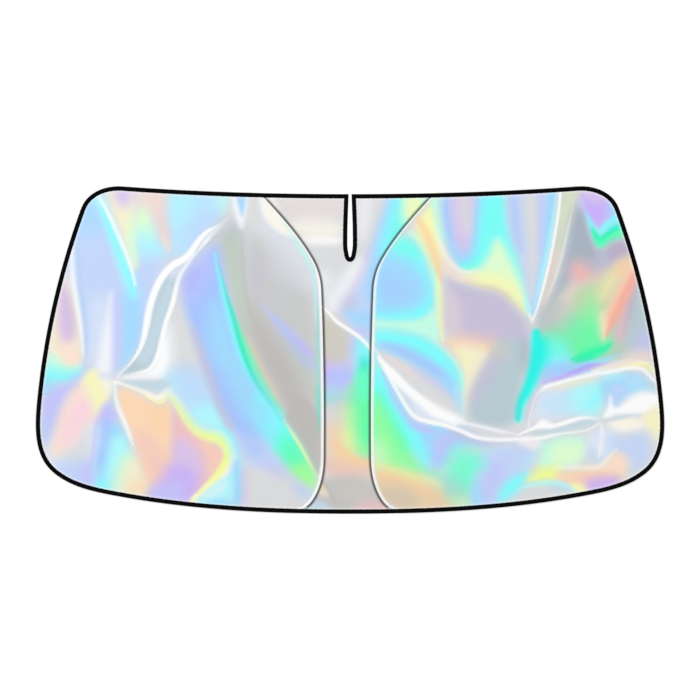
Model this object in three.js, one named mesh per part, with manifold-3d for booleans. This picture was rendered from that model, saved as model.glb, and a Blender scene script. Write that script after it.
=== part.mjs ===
// Twist-fold windscreen sunshade, laid flat with its printed face up.
//
// One cloth sheet carries two sprung wire hoops. Each hoop runs inside the bound border on its outer
// side and crosses the sheet inside a sewn channel on its inner side, so the cloth rises over the wire
// as a low ridge. Black tape binds the outside edge and the slot that fits round the mirror stalk.
//
// Frame: millimetres, +Z up out of the printed face, +Y towards the edge with the mirror slot,
// origin on the floor under the middle of the outline.

import * as THREE from "three";
import { mergeVertices } from "three/addons/utils/BufferGeometryUtils.js";
import Module from "manifold-3d";

const wasm = await Module();
wasm.setup();

// Driving dimensions of the outline's right half. Knots are measured in from the side, the top or the
// bottom. A heading is the direction of travel in degrees, going clockwise from the top middle.
const shadeWidth = 1450;
const shadeHeight = 756;
const topMiddleDip = 18;
const shoulderStart = { fromSide: 200.6, fromTop: 0.3, heading: 4.2 };
const shoulderEnd = { fromSide: 104.2, fromTop: 51.2, heading: -69.8 };
const waist = { fromSide: 3, fromBottom: 263.9, heading: -84.3 };
const lowerCorner = { fromSide: 39.6, fromBottom: 95.9, heading: -139.5 };
const hemStart = { fromSide: 190.6, fromBottom: 40.4, heading: -169.6 };

// Driving dimensions of the mirror slot
const slotMouthWidth = 6.8;
const slotBellyWidth = 12.6;
const slotBellyDepth = 98;
const slotDepth = 146;
const slotTipHeading = 25;
const slotTipShoulder = { halfWidth: 4, rise: 10.6, heading: 76 };

// Driving dimensions of the two hoops' inner runs, measured from the line midway between them
const hoopCentreX = -6.3;
const topJoin = 220;
const channelTop = { x: 188.7, fromTop: 31.5, heading: -132.5 };
const channelBend = { x: 80.5, fromTop: 170, heading: -119.5 };
const channelUpper = { x: 61, fromTop: 240, heading: -92.5 };
const channelLower = { x: 55.3, fromBottom: 130, heading: -89.5 };
const channelFoot = { x: 80.8, fromBottom: 32, heading: -56.5 };
const bottomJoin = 137;

// Driving dimensions of the materials
const clothThickness = 0.4;
const tapeThickness = 0.5;
const borderWidth = 10;
const channelTapeWidth = 12;
const wireDiameter = 1.2;
const ferruleWall = 0.3;
const ferruleLength = 26;
const wireEndGap = 1;

// Clearances
const crimpGap = 0.1;
const clearance = 0.3;

// Fineness of the curves: the furthest that a straight facet may lie from its curve
const facetTolerance = 0.5;
const slotFacetTolerance = 0.1;
const roundSides = 8;

// Stack of layers, from the floor up
const tapeTop = tapeThickness;
const clothTop = tapeTop + clothThickness;
const borderTop = clothTop + tapeThickness;
const wireRadius = wireDiameter / 2;
const ferruleBore = wireRadius + crimpGap;
const ferruleRadius = ferruleBore + ferruleWall;
const channelRadius = ferruleRadius + clearance;
const channelMouth = 2 * (wireRadius + clearance);
const ridgeRadius = channelRadius + clothThickness;
const borderBore = ridgeRadius + clearance;
const borderRadius = borderBore + tapeThickness;
const wireHeight = tapeTop + clearance + ferruleRadius;
const wireInset = borderRadius;
const aboveAll = wireHeight + 2 * borderRadius;

// Lines in the plane

function direction(heading) {
  const angle = THREE.MathUtils.degToRad(heading);
  return new THREE.Vector2(Math.cos(angle), Math.sin(angle));
}

// A cubic span from one knot to the next, as near to an arc as the two headings allow.
function smoothSpan(from, to, tolerance) {
  const start = new THREE.Vector2(from.x, from.y);
  const end = new THREE.Vector2(to.x, to.y);
  const turn = Math.abs(THREE.MathUtils.degToRad(to.heading - from.heading));
  const chord = start.distanceTo(end);
  const share = turn < 0.001 ? 1 / 3 : ((4 / 3) * Math.tan(turn / 4)) / (2 * Math.sin(turn / 2));
  const handle = chord * share;
  const startHandle = start.clone().addScaledVector(direction(from.heading), handle);
  const endHandle = end.clone().addScaledVector(direction(to.heading), -handle);
  const curve = new THREE.CubicBezierCurve(start, startHandle, endHandle, end);
  const pieces = Math.max(1, Math.ceil(Math.sqrt((chord * turn) / (8 * tolerance))));
  return curve.getPoints(pieces);
}

// Spans through a row of knots, with no point twice.
function smoothLine(knots, tolerance = facetTolerance) {
  const points = [new THREE.Vector2(knots[0].x, knots[0].y)];
  for (let i = 1; i < knots.length; i += 1) {
    points.push(...smoothSpan(knots[i - 1], knots[i], tolerance).slice(1));
  }
  return points;
}

// A line moved sideways, to its right where the distance is positive, with mitred corners.
function offsetLine(points, distance, closed) {
  const last = points.length - 1;
  return points.map((point, i) => {
    const before = closed ? points[(i + last) % points.length] : points[Math.max(i - 1, 0)];
    const after = closed ? points[(i + 1) % points.length] : points[Math.min(i + 1, last)];
    const arriving = point.equals(before) ? after.clone().sub(point) : point.clone().sub(before);
    const leaving = point.equals(after) ? arriving.clone() : after.clone().sub(point);
    arriving.normalize();
    leaving.normalize();
    const mean = arriving.clone().add(leaving).normalize();
    const rightward = new THREE.Vector2(mean.y, -mean.x);
    return point.clone().addScaledVector(rightward, distance / mean.dot(leaving));
  });
}

function mirrored(points) {
  return points.map((point) => new THREE.Vector2(-point.x, point.y));
}

// The part of a line from where it first passes a value of x, going outwards.
function fromX(points, x) {
  const i = points.findIndex((point) => point.x >= x);
  const share = (x - points[i - 1].x) / (points[i].x - points[i - 1].x);
  const crossing = points[i - 1].clone().lerp(points[i], share);
  const rest = points.slice(i).filter((point) => point.distanceTo(crossing) > clearance);
  return [crossing, ...rest];
}

// The heading from one point to another, written as the turn nearest to a reference heading
function headingBetween(from, to, reference) {
  const heading = THREE.MathUtils.radToDeg(Math.atan2(to.y - from.y, to.x - from.x));
  return heading - 360 * Math.round((heading - reference) / 360);
}

// A driving knot as a point: its distance from an edge becomes a place from the middle of the shade.
function placeKnot({ x, fromSide, fromTop, fromBottom, heading }) {
  return {
    x: x ?? shadeWidth / 2 - fromSide,
    y: fromTop === undefined ? fromBottom - shadeHeight / 2 : shadeHeight / 2 - fromTop,
    heading,
  };
}

// Outline of the whole shade, clockwise from the top middle, centred on the origin
const rightKnots = [
  { x: 0, fromTop: topMiddleDip, heading: 0 },
  shoulderStart,
  shoulderEnd,
  waist,
  lowerCorner,
  hemStart,
  { x: 0, fromBottom: 0, heading: -180 },
].map(placeKnot);
const drawnHalf = smoothLine(rightKnots);
const drawnHeights = drawnHalf.map((point) => point.y);
const middleY = (Math.max(...drawnHeights) + Math.min(...drawnHeights)) / 2;
const rightHalf = drawnHalf.map((point) => new THREE.Vector2(point.x, point.y - middleY));
const leftHalf = mirrored(rightHalf).reverse().slice(1, -1);
const outline = [...rightHalf, ...leftHalf];
const topY = rightHalf[0].y;

// Slot, from its mouth on the left down to the tip and up again; the mouth reaches past the edge
function slotLine(distance) {
  const tip = slotTipShoulder;
  const tipY = topY - slotDepth;
  const above = topY + borderWidth;
  const flare = THREE.MathUtils.radToDeg(
    Math.atan2((slotBellyWidth - slotMouthWidth) / 2, slotBellyDepth),
  );
  const knots = [
    { x: 0, y: tipY, heading: slotTipHeading },
    { x: tip.halfWidth, y: tipY + tip.rise, heading: tip.heading },
    { x: slotBellyWidth / 2, y: topY - slotBellyDepth, heading: 90 },
    { x: slotMouthWidth / 2, y: topY, heading: 90 + flare },
  ];
  const mouth = new THREE.Vector2(slotMouthWidth / 2, above);
  const right = [...smoothLine(knots, slotFacetTolerance), mouth];
  const left = mirrored(right).reverse().slice(0, -1);
  return offsetLine([...left, ...right], distance, false);
}

// Solids

function solidFrom(geometry) {
  const bare = geometry.clone();
  bare.deleteAttribute("normal");
  bare.deleteAttribute("uv");
  const merged = mergeVertices(bare, 0.0001);
  return new wasm.Manifold(
    new wasm.Mesh({
      numProp: 3,
      vertProperties: new Float32Array(merged.attributes.position.array),
      triVerts: new Uint32Array(merged.index.array),
    }),
  );
}

function geometryFrom(solid) {
  const mesh = solid.getMesh();
  const geometry = new THREE.BufferGeometry();
  geometry.setAttribute("position", new THREE.BufferAttribute(mesh.vertProperties, 3));
  geometry.setIndex(new THREE.BufferAttribute(mesh.triVerts, 1));
  geometry.computeVertexNormals();
  return geometry;
}

// An upright solid over a closed line, between two heights.
function prism(points, bottom, top) {
  const shape = new THREE.Shape(points);
  const geometry = new THREE.ExtrudeGeometry(shape, { depth: top - bottom, bevelEnabled: false });
  geometry.translate(0, 0, bottom);
  return solidFrom(geometry);
}

// A level path through given points, which a sweep steps along from point to point.
class LevelRun extends THREE.Curve {
  constructor(points, height, closed) {
    super();
    this.stops = points.map((point) => new THREE.Vector3(point.x, point.y, height));
    this.closed = closed;
    if (closed) {
      this.stops.push(this.stops[0].clone());
    }
    this.steps = this.stops.length - 1;
  }

  getPointAt(u, target = new THREE.Vector3()) {
    return target.copy(this.stops[Math.round(u * this.steps)]);
  }

  getTangentAt(u, target = new THREE.Vector3()) {
    const i = Math.round(u * this.steps);
    const beforeFirst = this.closed ? this.steps - 1 : 0;
    const afterLast = this.closed ? 1 : this.steps;
    const before = this.stops[i === 0 ? beforeFirst : i - 1];
    const after = this.stops[i === this.steps ? afterLast : i + 1];
    const arriving = this.stops[i].clone().sub(before).normalize();
    const leaving = after.clone().sub(this.stops[i]).normalize();
    return target.copy(arriving).add(leaving).normalize();
  }
}

// A closed ring of round section along a hoop.
function ringSolid(points, radius) {
  const run = new LevelRun(points, wireHeight, true);
  return solidFrom(new THREE.TubeGeometry(run, run.steps, radius, roundSides, true));
}

// A strip of even width along a hoop, between two heights
function stripSolid(hoop, width, bottom, top) {
  const outward = (-width / 2) * hoop.side;
  const outer = prism(offsetLine(hoop.loop, outward, true), bottom, top);
  const hole = prism(offsetLine(hoop.loop, -outward, true), bottom - clearance, top + clearance);
  return outer.subtract(hole);
}

// The border's plan: the outline less the slot, moved in by a distance
function sheetPlan(distance, bottom, top) {
  const whole = prism(offsetLine(outline, distance, true), bottom, top);
  return whole.subtract(prism(slotLine(distance), bottom - clearance, top + clearance));
}

// One hoop's centre line, closed, on the side given by 1 for right and -1 for left
function hoopRuns(side) {
  const shift = hoopCentreX * side;
  const halfAtWire = offsetLine(rightHalf, wireInset, false);
  const fromTop = fromX(halfAtWire, topJoin + shift);
  const border = fromX(fromTop.reverse(), bottomJoin + shift).reverse();
  const first = border[0];
  const last = border[border.length - 1];
  const beforeLast = border[border.length - 2];
  const placed = (knot) => placeKnot({ ...knot, x: knot.x + shift });
  const inner = smoothLine([
    { x: first.x, y: first.y, heading: headingBetween(border[1], first, channelTop.heading) },
    placed(channelTop),
    placed(channelBend),
    placed(channelUpper),
    placed(channelLower),
    placed(channelFoot),
    { x: last.x, y: last.y, heading: headingBetween(last, beforeLast, channelFoot.heading) },
  ]);
  return { border, inner };
}

function placedOnSide(points, side) {
  return side > 0 ? points : mirrored(points);
}

// Pieces

// The middle of the border stretch that is nearest to level with the waist, where the wire is joined
function joinStretch(border) {
  const waistY = placeKnot(waist).y;
  const reach = (i) => Math.abs((border[i].y + border[i - 1].y) / 2 - waistY);
  let best = 1;
  for (let i = 2; i < border.length; i += 1) {
    best = reach(i) < reach(best) ? i : best;
  }
  return best;
}

function makeHoop(side) {
  const { border, inner } = hoopRuns(side);
  const loop = placedOnSide([...border, ...inner.slice(1, -1).reverse()], side);
  const afterJoin = joinStretch(border);
  const start = loop[afterJoin];
  const end = loop[afterJoin - 1];
  const middle = start.clone().add(end).multiplyScalar(0.5);
  const along = start.clone().sub(end).normalize();
  return { side, loop, afterJoin, middle, along, inner: placedOnSide(inner, side) };
}

function wireGeometry(hoop) {
  const { loop, afterJoin, middle, along } = hoop;
  const around = [...loop.slice(afterJoin), ...loop.slice(0, afterJoin)];
  const first = middle.clone().addScaledVector(along, wireEndGap / 2);
  const last = middle.clone().addScaledVector(along, -wireEndGap / 2);
  const run = new LevelRun([first, ...around, last], wireHeight, false);
  const section = new THREE.Shape();
  for (let i = 0; i < roundSides; i += 1) {
    const angle = (i / roundSides) * 2 * Math.PI;
    const corner = new THREE.Vector2(Math.cos(angle), Math.sin(angle)).multiplyScalar(wireRadius);
    if (i === 0) {
      section.moveTo(corner.x, corner.y);
    } else {
      section.lineTo(corner.x, corner.y);
    }
  }
  section.closePath();
  return new THREE.ExtrudeGeometry(section, {
    steps: run.steps,
    extrudePath: run,
    bevelEnabled: false,
    curveSegments: 1,
  });
}

function ferruleGeometry() {
  const half = ferruleLength / 2;
  const profile = [
    new THREE.Vector2(ferruleBore, -half),
    new THREE.Vector2(ferruleRadius, -half),
    new THREE.Vector2(ferruleRadius, half),
    new THREE.Vector2(ferruleBore, half),
    new THREE.Vector2(ferruleBore, -half),
  ];
  return new THREE.LatheGeometry(profile, roundSides);
}

function panelGeometry(hoops) {
  let cloth = sheetPlan(wireInset - ridgeRadius, tapeTop, clothTop);
  const aboveTape = sheetPlan(wireInset - ridgeRadius, tapeTop, aboveAll);
  for (const hoop of hoops) {
    cloth = cloth.add(ringSolid(hoop.loop, ridgeRadius).intersect(aboveTape));
  }
  for (const hoop of hoops) {
    cloth = cloth.subtract(ringSolid(hoop.loop, channelRadius));
    cloth = cloth.subtract(stripSolid(hoop, channelMouth, 0, wireHeight));
  }
  return geometryFrom(cloth);
}

function edgeBindingGeometry(hoops) {
  const inside = prism(offsetLine(outline, borderWidth, true), -clearance, aboveAll + clearance);
  const band = sheetPlan(0, 0, aboveAll).subtract(inside);
  let binding = sheetPlan(0, 0, borderTop).subtract(inside);
  for (const hoop of hoops) {
    binding = binding.add(ringSolid(hoop.loop, borderRadius).intersect(band));
  }
  binding = binding.subtract(sheetPlan(tapeThickness, tapeTop, clothTop));
  const aboveLeg = prism(offsetLine(outline, -clearance, true), tapeTop, aboveAll);
  for (const hoop of hoops) {
    binding = binding.subtract(ringSolid(hoop.loop, borderBore).intersect(aboveLeg));
  }
  return geometryFrom(binding);
}

function slotBindingGeometry() {
  const below = offsetLine(outline, borderWidth + clearance, true);
  const zone = prism(below, -clearance, aboveAll);
  const outer = prism(slotLine(borderWidth), 0, borderTop);
  const opening = prism(slotLine(0), -clearance, aboveAll);
  const fold = prism(slotLine(tapeThickness), tapeTop, clothTop);
  const wide = prism(slotLine(borderWidth + clearance), tapeTop, clothTop);
  const cavity = wide.subtract(fold);
  return geometryFrom(outer.subtract(opening).subtract(cavity).intersect(zone));
}

function channelTapeGeometry(hoop) {
  const half = channelTapeWidth / 2;
  const right = offsetLine(hoop.inner, half, false);
  const left = offsetLine(hoop.inner, -half, false).reverse();
  const strip = prism([...right, ...left], 0, tapeTop);
  const field = prism(offsetLine(outline, borderWidth + clearance, true), -clearance, aboveAll);
  return geometryFrom(strip.intersect(field));
}

// Materials, with the photographed colours averaged over each piece
const printedCloth = new THREE.MeshStandardMaterial({
  color: 0xcfd9ea,
  roughness: 0.35,
  metalness: 0.1,
});
const blackTape = new THREE.MeshStandardMaterial({ color: 0x08080a, roughness: 0.8, metalness: 0 });
const greyTape = new THREE.MeshStandardMaterial({ color: 0xb4b6ba, roughness: 0.75, metalness: 0 });
const springSteel = new THREE.MeshStandardMaterial({
  color: 0x8f9296,
  roughness: 0.35,
  metalness: 1,
});
const crimpedAluminium = new THREE.MeshStandardMaterial({
  color: 0xc9cbce,
  roughness: 0.4,
  metalness: 1,
});

const sunshade = new THREE.Group();

function addPiece(name, geometry, material) {
  const mesh = new THREE.Mesh(geometry, material);
  mesh.name = name;
  sunshade.add(mesh);
  return mesh;
}

const leftHoop = makeHoop(-1);
const rightHoop = makeHoop(1);
const bothHoops = [leftHoop, rightHoop];

addPiece("shade_panel", panelGeometry(bothHoops), printedCloth);
addPiece("edge_binding", edgeBindingGeometry(bothHoops), blackTape);
addPiece("slot_binding", slotBindingGeometry(), blackTape);

for (const [sideName, hoop] of [
  ["left", leftHoop],
  ["right", rightHoop],
]) {
  addPiece(`hoop_wire_${sideName}`, wireGeometry(hoop), springSteel);
  addPiece(`channel_tape_${sideName}`, channelTapeGeometry(hoop), greyTape);
  const ferrule = addPiece(`hoop_ferrule_${sideName}`, ferruleGeometry(), crimpedAluminium);
  ferrule.position.set(hoop.middle.x, hoop.middle.y, wireHeight);
  ferrule.rotation.z = Math.atan2(hoop.along.y, hoop.along.x) - Math.PI / 2;
}

export default sunshade;
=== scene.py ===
# %% [markdown]
# # A folding windscreen sunshade
# The real thing is one sheet of printed cloth with two sprung wire hoops sewn into it. Black tape binds
# the outside edge and the slot for the mirror stalk. Laid flat it is only a few millimetres thick, so its
# looks come from the foil print, from the low ridges over the wires and from the black outline.
#
# The imported model comes in first. Everything made here is measured in metres in the same frame. The
# dressed shade may not outgrow it.

# %% Load the frame
import math

import bmesh
import bpy
import numpy as np
from mathutils import Matrix, Vector, kdtree


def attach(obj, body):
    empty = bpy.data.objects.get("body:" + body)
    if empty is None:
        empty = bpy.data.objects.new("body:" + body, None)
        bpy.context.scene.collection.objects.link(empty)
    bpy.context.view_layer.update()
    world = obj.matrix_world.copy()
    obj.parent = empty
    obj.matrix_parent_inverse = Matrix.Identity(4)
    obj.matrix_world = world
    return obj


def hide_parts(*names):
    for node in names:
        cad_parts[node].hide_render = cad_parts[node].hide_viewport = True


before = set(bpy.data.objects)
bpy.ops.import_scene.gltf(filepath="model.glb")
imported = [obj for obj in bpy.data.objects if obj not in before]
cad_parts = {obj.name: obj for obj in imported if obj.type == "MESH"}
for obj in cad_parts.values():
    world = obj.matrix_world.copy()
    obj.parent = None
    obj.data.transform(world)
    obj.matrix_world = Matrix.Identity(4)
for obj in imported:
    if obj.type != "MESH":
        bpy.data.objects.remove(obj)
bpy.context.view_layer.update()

# %% [markdown]
# The sheet lies on the floor and the camera hangs straight above it. The photograph is 700 pixels wide and
# shows 1.616 m there, which gives the lens once a distance is chosen. A long distance keeps the outline
# free of perspective. Pixels of the photograph are counted from its top left corner.

# %% Camera straight above
PHOTO_SIDE = 700
METRES_PER_PIXEL = 0.0023089
CENTRE_PIXEL = (350.06, 350.05)
CAMERA_HEIGHT = 6.0

view_width = PHOTO_SIDE * METRES_PER_PIXEL
camera_data = bpy.data.cameras.new("portrait_camera")
camera_data.lens = camera_data.sensor_width * CAMERA_HEIGHT / view_width
camera = bpy.data.objects.new("portrait_camera", camera_data)
bpy.context.scene.collection.objects.link(camera)
camera.location = (
    (PHOTO_SIDE / 2 - CENTRE_PIXEL[0]) * METRES_PER_PIXEL,
    (CENTRE_PIXEL[1] - PHOTO_SIDE / 2) * METRES_PER_PIXEL,
    CAMERA_HEIGHT,
)
bpy.context.scene.camera = camera
print("lens", round(camera_data.lens, 2), "mm")

# %% [markdown]
# A white floor with plain, even light suits a cut-out picture. The light is weak enough that a colour
# renders about as it is written. The floor is white where the camera sees it, and still holds the soft
# shadow that tells the eye where the sheet lies.

# %% Node helpers
def wire_up(owner, links):
    """Joins sockets given as (from node, from socket, to node, to socket)."""
    for source, out_name, target, in_name in links:
        owner.node_tree.links.new(source.outputs[out_name], target.inputs[in_name])


def new_material(name):
    """A material and its shader."""
    material = bpy.data.materials.new(name)
    material.use_nodes = True
    return material, material.node_tree.nodes["Principled BSDF"]


def add_node(owner, kind):
    """A shader node in the tree of a material or of the world."""
    return owner.node_tree.nodes.new("ShaderNode" + kind)


# %% [markdown]
# The floor is one large square, a hair below the sheet so that the two never share a plane. Its paint is
# a pale matt one. A little glow, which only the camera sees, lifts it to white.

# %% Floor
FLOOR_SIDE, FLOOR_DROP = 14.0, 0.0002
FLOOR_GREY, FLOOR_GLOW = 0.86, 0.24

floor_mesh = bpy.data.meshes.new("floor")
floor_form = bmesh.new()
bmesh.ops.create_grid(floor_form, x_segments=1, y_segments=1, size=FLOOR_SIDE / 2)
bmesh.ops.translate(floor_form, verts=floor_form.verts, vec=(0, 0, -FLOOR_DROP))
floor_form.to_mesh(floor_mesh)
floor_form.free()
floor = bpy.data.objects.new("floor", floor_mesh)
bpy.context.scene.collection.objects.link(floor)

floor_paint, shader = new_material("floor_paint")
shader.inputs["Base Color"].default_value = (FLOOR_GREY, FLOOR_GREY, FLOOR_GREY, 1)
shader.inputs["Roughness"].default_value = 0.9
shader.inputs["Specular IOR Level"].default_value = 0.1
shader.inputs["Emission Color"].default_value = (1, 1, 1, 1)
light_path = add_node(floor_paint, "LightPath")
seen = add_node(floor_paint, "Math")
seen.operation = "MULTIPLY"
seen.inputs[1].default_value = FLOOR_GLOW
wire_up(floor_paint, [
    (light_path, "Is Camera Ray", seen, 0),
    (seen, "Value", shader, "Emission Strength"),
])
floor_mesh.materials.append(floor_paint)

# %% [markdown]
# The sky around the sheet is plain white. Rays from the camera, mirrored ones and those that pass
# through something meet it at full strength, and it lights the sheet a little more weakly. One lamp
# stands high on the left for the shadow sides of the ridges, and a weaker one fills from the right.

# %% Light
SKY_STRENGTH = 0.66

world = bpy.data.worlds.new("plain_studio")
world.use_nodes = True
bpy.context.scene.world = world
background = world.node_tree.nodes["Background"]
background.inputs["Color"].default_value = (1, 1, 1, 1)
light_path = add_node(world, "LightPath")
strongest = background.inputs["Strength"]
for ray in ("Is Camera Ray", "Is Glossy Ray", "Is Transmission Ray"):
    larger = add_node(world, "Math")
    larger.operation = "MAXIMUM"
    larger.inputs[1].default_value = SKY_STRENGTH
    world.node_tree.links.new(light_path.outputs[ray], larger.inputs[0])
    world.node_tree.links.new(larger.outputs["Value"], strongest)
    strongest = larger.inputs[1]


def add_lamp(name, place, side, power):
    """A square lamp aimed at the middle of the sheet."""
    data = bpy.data.lights.new(name, "AREA")
    data.size = side
    data.energy = power
    lamp = bpy.data.objects.new(name, data)
    lamp.location = place
    lamp.rotation_euler = (-Vector(place)).to_track_quat("-Z", "Y").to_euler()
    bpy.context.scene.collection.objects.link(lamp)


add_lamp("key_lamp", (-2.2, 2.4, 3.6), 1.6, 72)
add_lamp("fill_lamp", (2.8, -1.6, 3.4), 2.4, 32)

# %% [markdown]
# The outline, the slot and the wires are smooth curves through a few knots, the same knots that the solid
# model uses. A knot is a place and the heading of travel there, in millimetres and degrees. Each span is a
# Bezier piece whose handles make it as near to an arc as the two headings allow.

# %% Smooth lines through knots
MM = 0.001


def smooth_line(knots, step=2.0):
    """A row of (x, y) points about step apart through knots given as (x, y, heading)."""
    points = [np.array(knots[0][:2], float)]
    for (ax, ay, a_heading), (bx, by, b_heading) in zip(knots, knots[1:]):
        start, end = np.array((ax, ay), float), np.array((bx, by), float)
        chord = np.hypot(*(end - start))
        turn = abs(math.radians(b_heading - a_heading))
        share = 1 / 3 if turn < 0.001 else (4 / 3) * math.tan(turn / 4) / (2 * math.sin(turn / 2))
        near = start + chord * share * unit(a_heading)
        far = end - chord * share * unit(b_heading)
        for t in np.linspace(0, 1, max(2, math.ceil(chord / step) + 1))[1:]:
            s = 1 - t
            points.append(s ** 3 * start + 3 * t * s * s * near + 3 * t * t * s * far + t ** 3 * end)
    return np.array(points)


def unit(heading):
    return np.array((math.cos(math.radians(heading)), math.sin(math.radians(heading))))


def rightward(line):
    """For each point of an open line, the way to its right, lengthened at a corner as in a mitre."""
    steps = np.diff(line, axis=0)
    steps /= np.hypot(*steps.T)[:, None]
    arriving = np.vstack([steps[:1], steps])
    leaving = np.vstack([steps, steps[-1:]])
    mean = arriving + leaving
    mean /= np.hypot(*mean.T)[:, None]
    right = np.stack([mean[:, 1], -mean[:, 0]], axis=1)
    return right / (mean * leaving).sum(axis=1)[:, None]


def run_along(line):
    """The length of a line up to each of its points."""
    return np.concatenate([[0], np.cumsum(np.hypot(*np.diff(line, axis=0).T))])


def resampled(line, shares):
    """Points at the given shares of a line's length."""
    run = run_along(line)
    return np.stack([np.interp(shares, run / run[-1], line[:, axis]) for axis in (0, 1)], axis=1)


# %% [markdown]
# The outline is drawn for the right half and mirrored. The slot is a long drop: narrow at its mouth,
# wider lower down, and round at its tip.

# %% Outline and slot
HALF_WIDTH, HALF_HEIGHT = 725.0, 378.0
RIGHT_EDGE_KNOTS = [
    (0, HALF_HEIGHT - 18, 0),
    (HALF_WIDTH - 200.6, HALF_HEIGHT - 0.3, 4.2),
    (HALF_WIDTH - 104.2, HALF_HEIGHT - 51.2, -69.8),
    (HALF_WIDTH - 3, 263.9 - HALF_HEIGHT, -84.3),
    (HALF_WIDTH - 39.6, 95.9 - HALF_HEIGHT, -139.5),
    (HALF_WIDTH - 190.6, 40.4 - HALF_HEIGHT, -169.6),
    (0, -HALF_HEIGHT, -180),
]
SLOT_MOUTH, SLOT_BELLY, SLOT_BELLY_DEPTH, SLOT_DEPTH = 6.8, 12.6, 98.0, 146.0
SLOT_SHOULDER, SHOULDER_RISE = 4.0, 10.6

right_edge = smooth_line(RIGHT_EDGE_KNOTS)
right_edge[:, 1] -= (right_edge[:, 1].max() + right_edge[:, 1].min()) / 2
top_y = right_edge[0, 1]
tip_y = top_y - SLOT_DEPTH
slot_flare = math.degrees(math.atan2((SLOT_BELLY - SLOT_MOUTH) / 2, SLOT_BELLY_DEPTH))
right_slot = smooth_line([
    (0, tip_y, 25),
    (SLOT_SHOULDER, tip_y + SHOULDER_RISE, 76),
    (SLOT_BELLY / 2, top_y - SLOT_BELLY_DEPTH, 90),
    (SLOT_MOUTH / 2, top_y, 90 + slot_flare),
], step=1.2)


def mirrored(line):
    return line * (-1, 1)


outline = np.vstack([right_edge, mirrored(right_edge)[::-1][1:-1]])
print("outline", np.abs(outline).max(axis=0), "slot tip at", round(tip_y, 1))

# %% [markdown]
# Each hoop is a closed loop. Its outer run lies in the bound border, a tape's fold in from the edge. Its
# inner run crosses the sheet in a sewn channel. Both hoops sit a few millimetres to the left of the slot.

# %% Wires
HOOP_CENTRE_X = -6.3
TOP_JOIN, BOTTOM_JOIN = 220.0, 137.0
TOP_HEADING, BOTTOM_HEADING = -132.5, -56.5
WIRE_INSET, WIRE_Z = 2.5, 1.8


def channel_knots(side):
    """Knots of a hoop's inner run from the top down, for the right side; the left one is mirrored."""
    shift = HOOP_CENTRE_X * side
    return [
        (188.7 + shift, HALF_HEIGHT - 31.5, TOP_HEADING),
        (80.5 + shift, HALF_HEIGHT - 170, -119.5),
        (61 + shift, HALF_HEIGHT - 240, -92.5),
        (55.3 + shift, 130 - HALF_HEIGHT, -89.5),
        (80.8 + shift, 32 - HALF_HEIGHT, BOTTOM_HEADING),
    ]


def heading_back(here, there, like):
    """The heading from there to here in degrees, counted round to within half a turn of another one."""
    heading = math.degrees(math.atan2(*(here - there)[::-1]))
    return heading - 360 * round((heading - like) / 360)


def hoop_lines(side):
    """A hoop's run in the border and its inner run, both from the top down."""
    shift = HOOP_CENTRE_X * side
    at_wire = right_edge + WIRE_INSET * rightward(right_edge)
    first = np.argmax(at_wire[:, 0] >= TOP_JOIN + shift)
    last = len(at_wire) - 1 - np.argmax(at_wire[::-1, 0] >= BOTTOM_JOIN + shift)
    border = at_wire[first:last + 1]
    inner = smooth_line([
        (*border[0], heading_back(border[0], border[1], TOP_HEADING)),
        *channel_knots(side),
        (*border[-1], heading_back(border[-2], border[-1], BOTTOM_HEADING)),
    ])
    if side < 0:
        border, inner = mirrored(border), mirrored(inner)
    return border, inner


hoops = {"left": hoop_lines(-1), "right": hoop_lines(1)}
for name, (border, inner) in hoops.items():
    print(name, "hoop: inner run from", inner[0].round(1), "to", inner[-1].round(1))


# %% [markdown]
# Ridges, seams, tape and tints all follow these lines, so each of them asks the same question: how far is
# a point from the line, and how far along it? A search tree over close points answers that quickly.

# %% Distance to a line
class Near:
    """Finds how far a point is from a line, where along it, and on which side of its travel."""

    def __init__(self, line, step=0.5):
        length = run_along(line)[-1]
        self.points = resampled(line, np.linspace(0, 1, int(length / step) + 1))
        self.step = length / (len(self.points) - 1)
        self.tree = kdtree.KDTree(len(self.points))
        for i, (x, y) in enumerate(self.points):
            self.tree.insert((x, y, 0), i)
        self.tree.balance()
        ways = np.gradient(self.points, axis=0)
        self.ways = ways / np.hypot(*ways.T)[:, None]

    def measure(self, points):
        """Distance, run along the line, and side: positive to the right of travel."""
        found = [self.tree.find((x, y, 0)) for x, y in points]
        ids = np.array([item[1] for item in found])
        away = points - self.points[ids]
        way = self.ways[ids]
        side = np.sign(way[:, 1] * away[:, 0] - way[:, 0] * away[:, 1])
        return np.array([item[2] for item in found]), ids * self.step, side


inner_near = {name: Near(inner) for name, (border, inner) in hoops.items()}
border_near = {name: Near(border) for name, (border, inner) in hoops.items()}
edge_near = Near(np.vstack([outline, outline[:1]]))
slot_near = Near(np.vstack([mirrored(right_slot)[::-1], right_slot]))

# %% [markdown]
# The cloth could be one flat polygon, but its print is painted on its points and it has to rise over the
# wires, so it wants an even net whose columns run along the channels. A plain grid is therefore stretched
# over the shade. Each side has a middle part, a narrow band with close columns over the wire, and a hoop
# field. Inside a part, the points are blended between its four border lines.

# %% Rows and columns of the cloth
TAPE, CLOTH = 0.5, 0.4
CLOTH_TOP = TAPE + CLOTH
CLOTH_EDGE_INSET, SLOT_EDGE_INSET = 5.0, 1.5
ROWS, MIDDLE_COLUMNS, FIELD_COLUMNS = 190, 38, 146
BAND_OFFSETS = (-7, -5.6, -4.4, -3.5, -2.7, -1.9, -1.1, -0.3, 0.6, 1.6, 2.8, 4.2, 6, 8, 10)
RUN_OUT = 70.0

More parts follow.
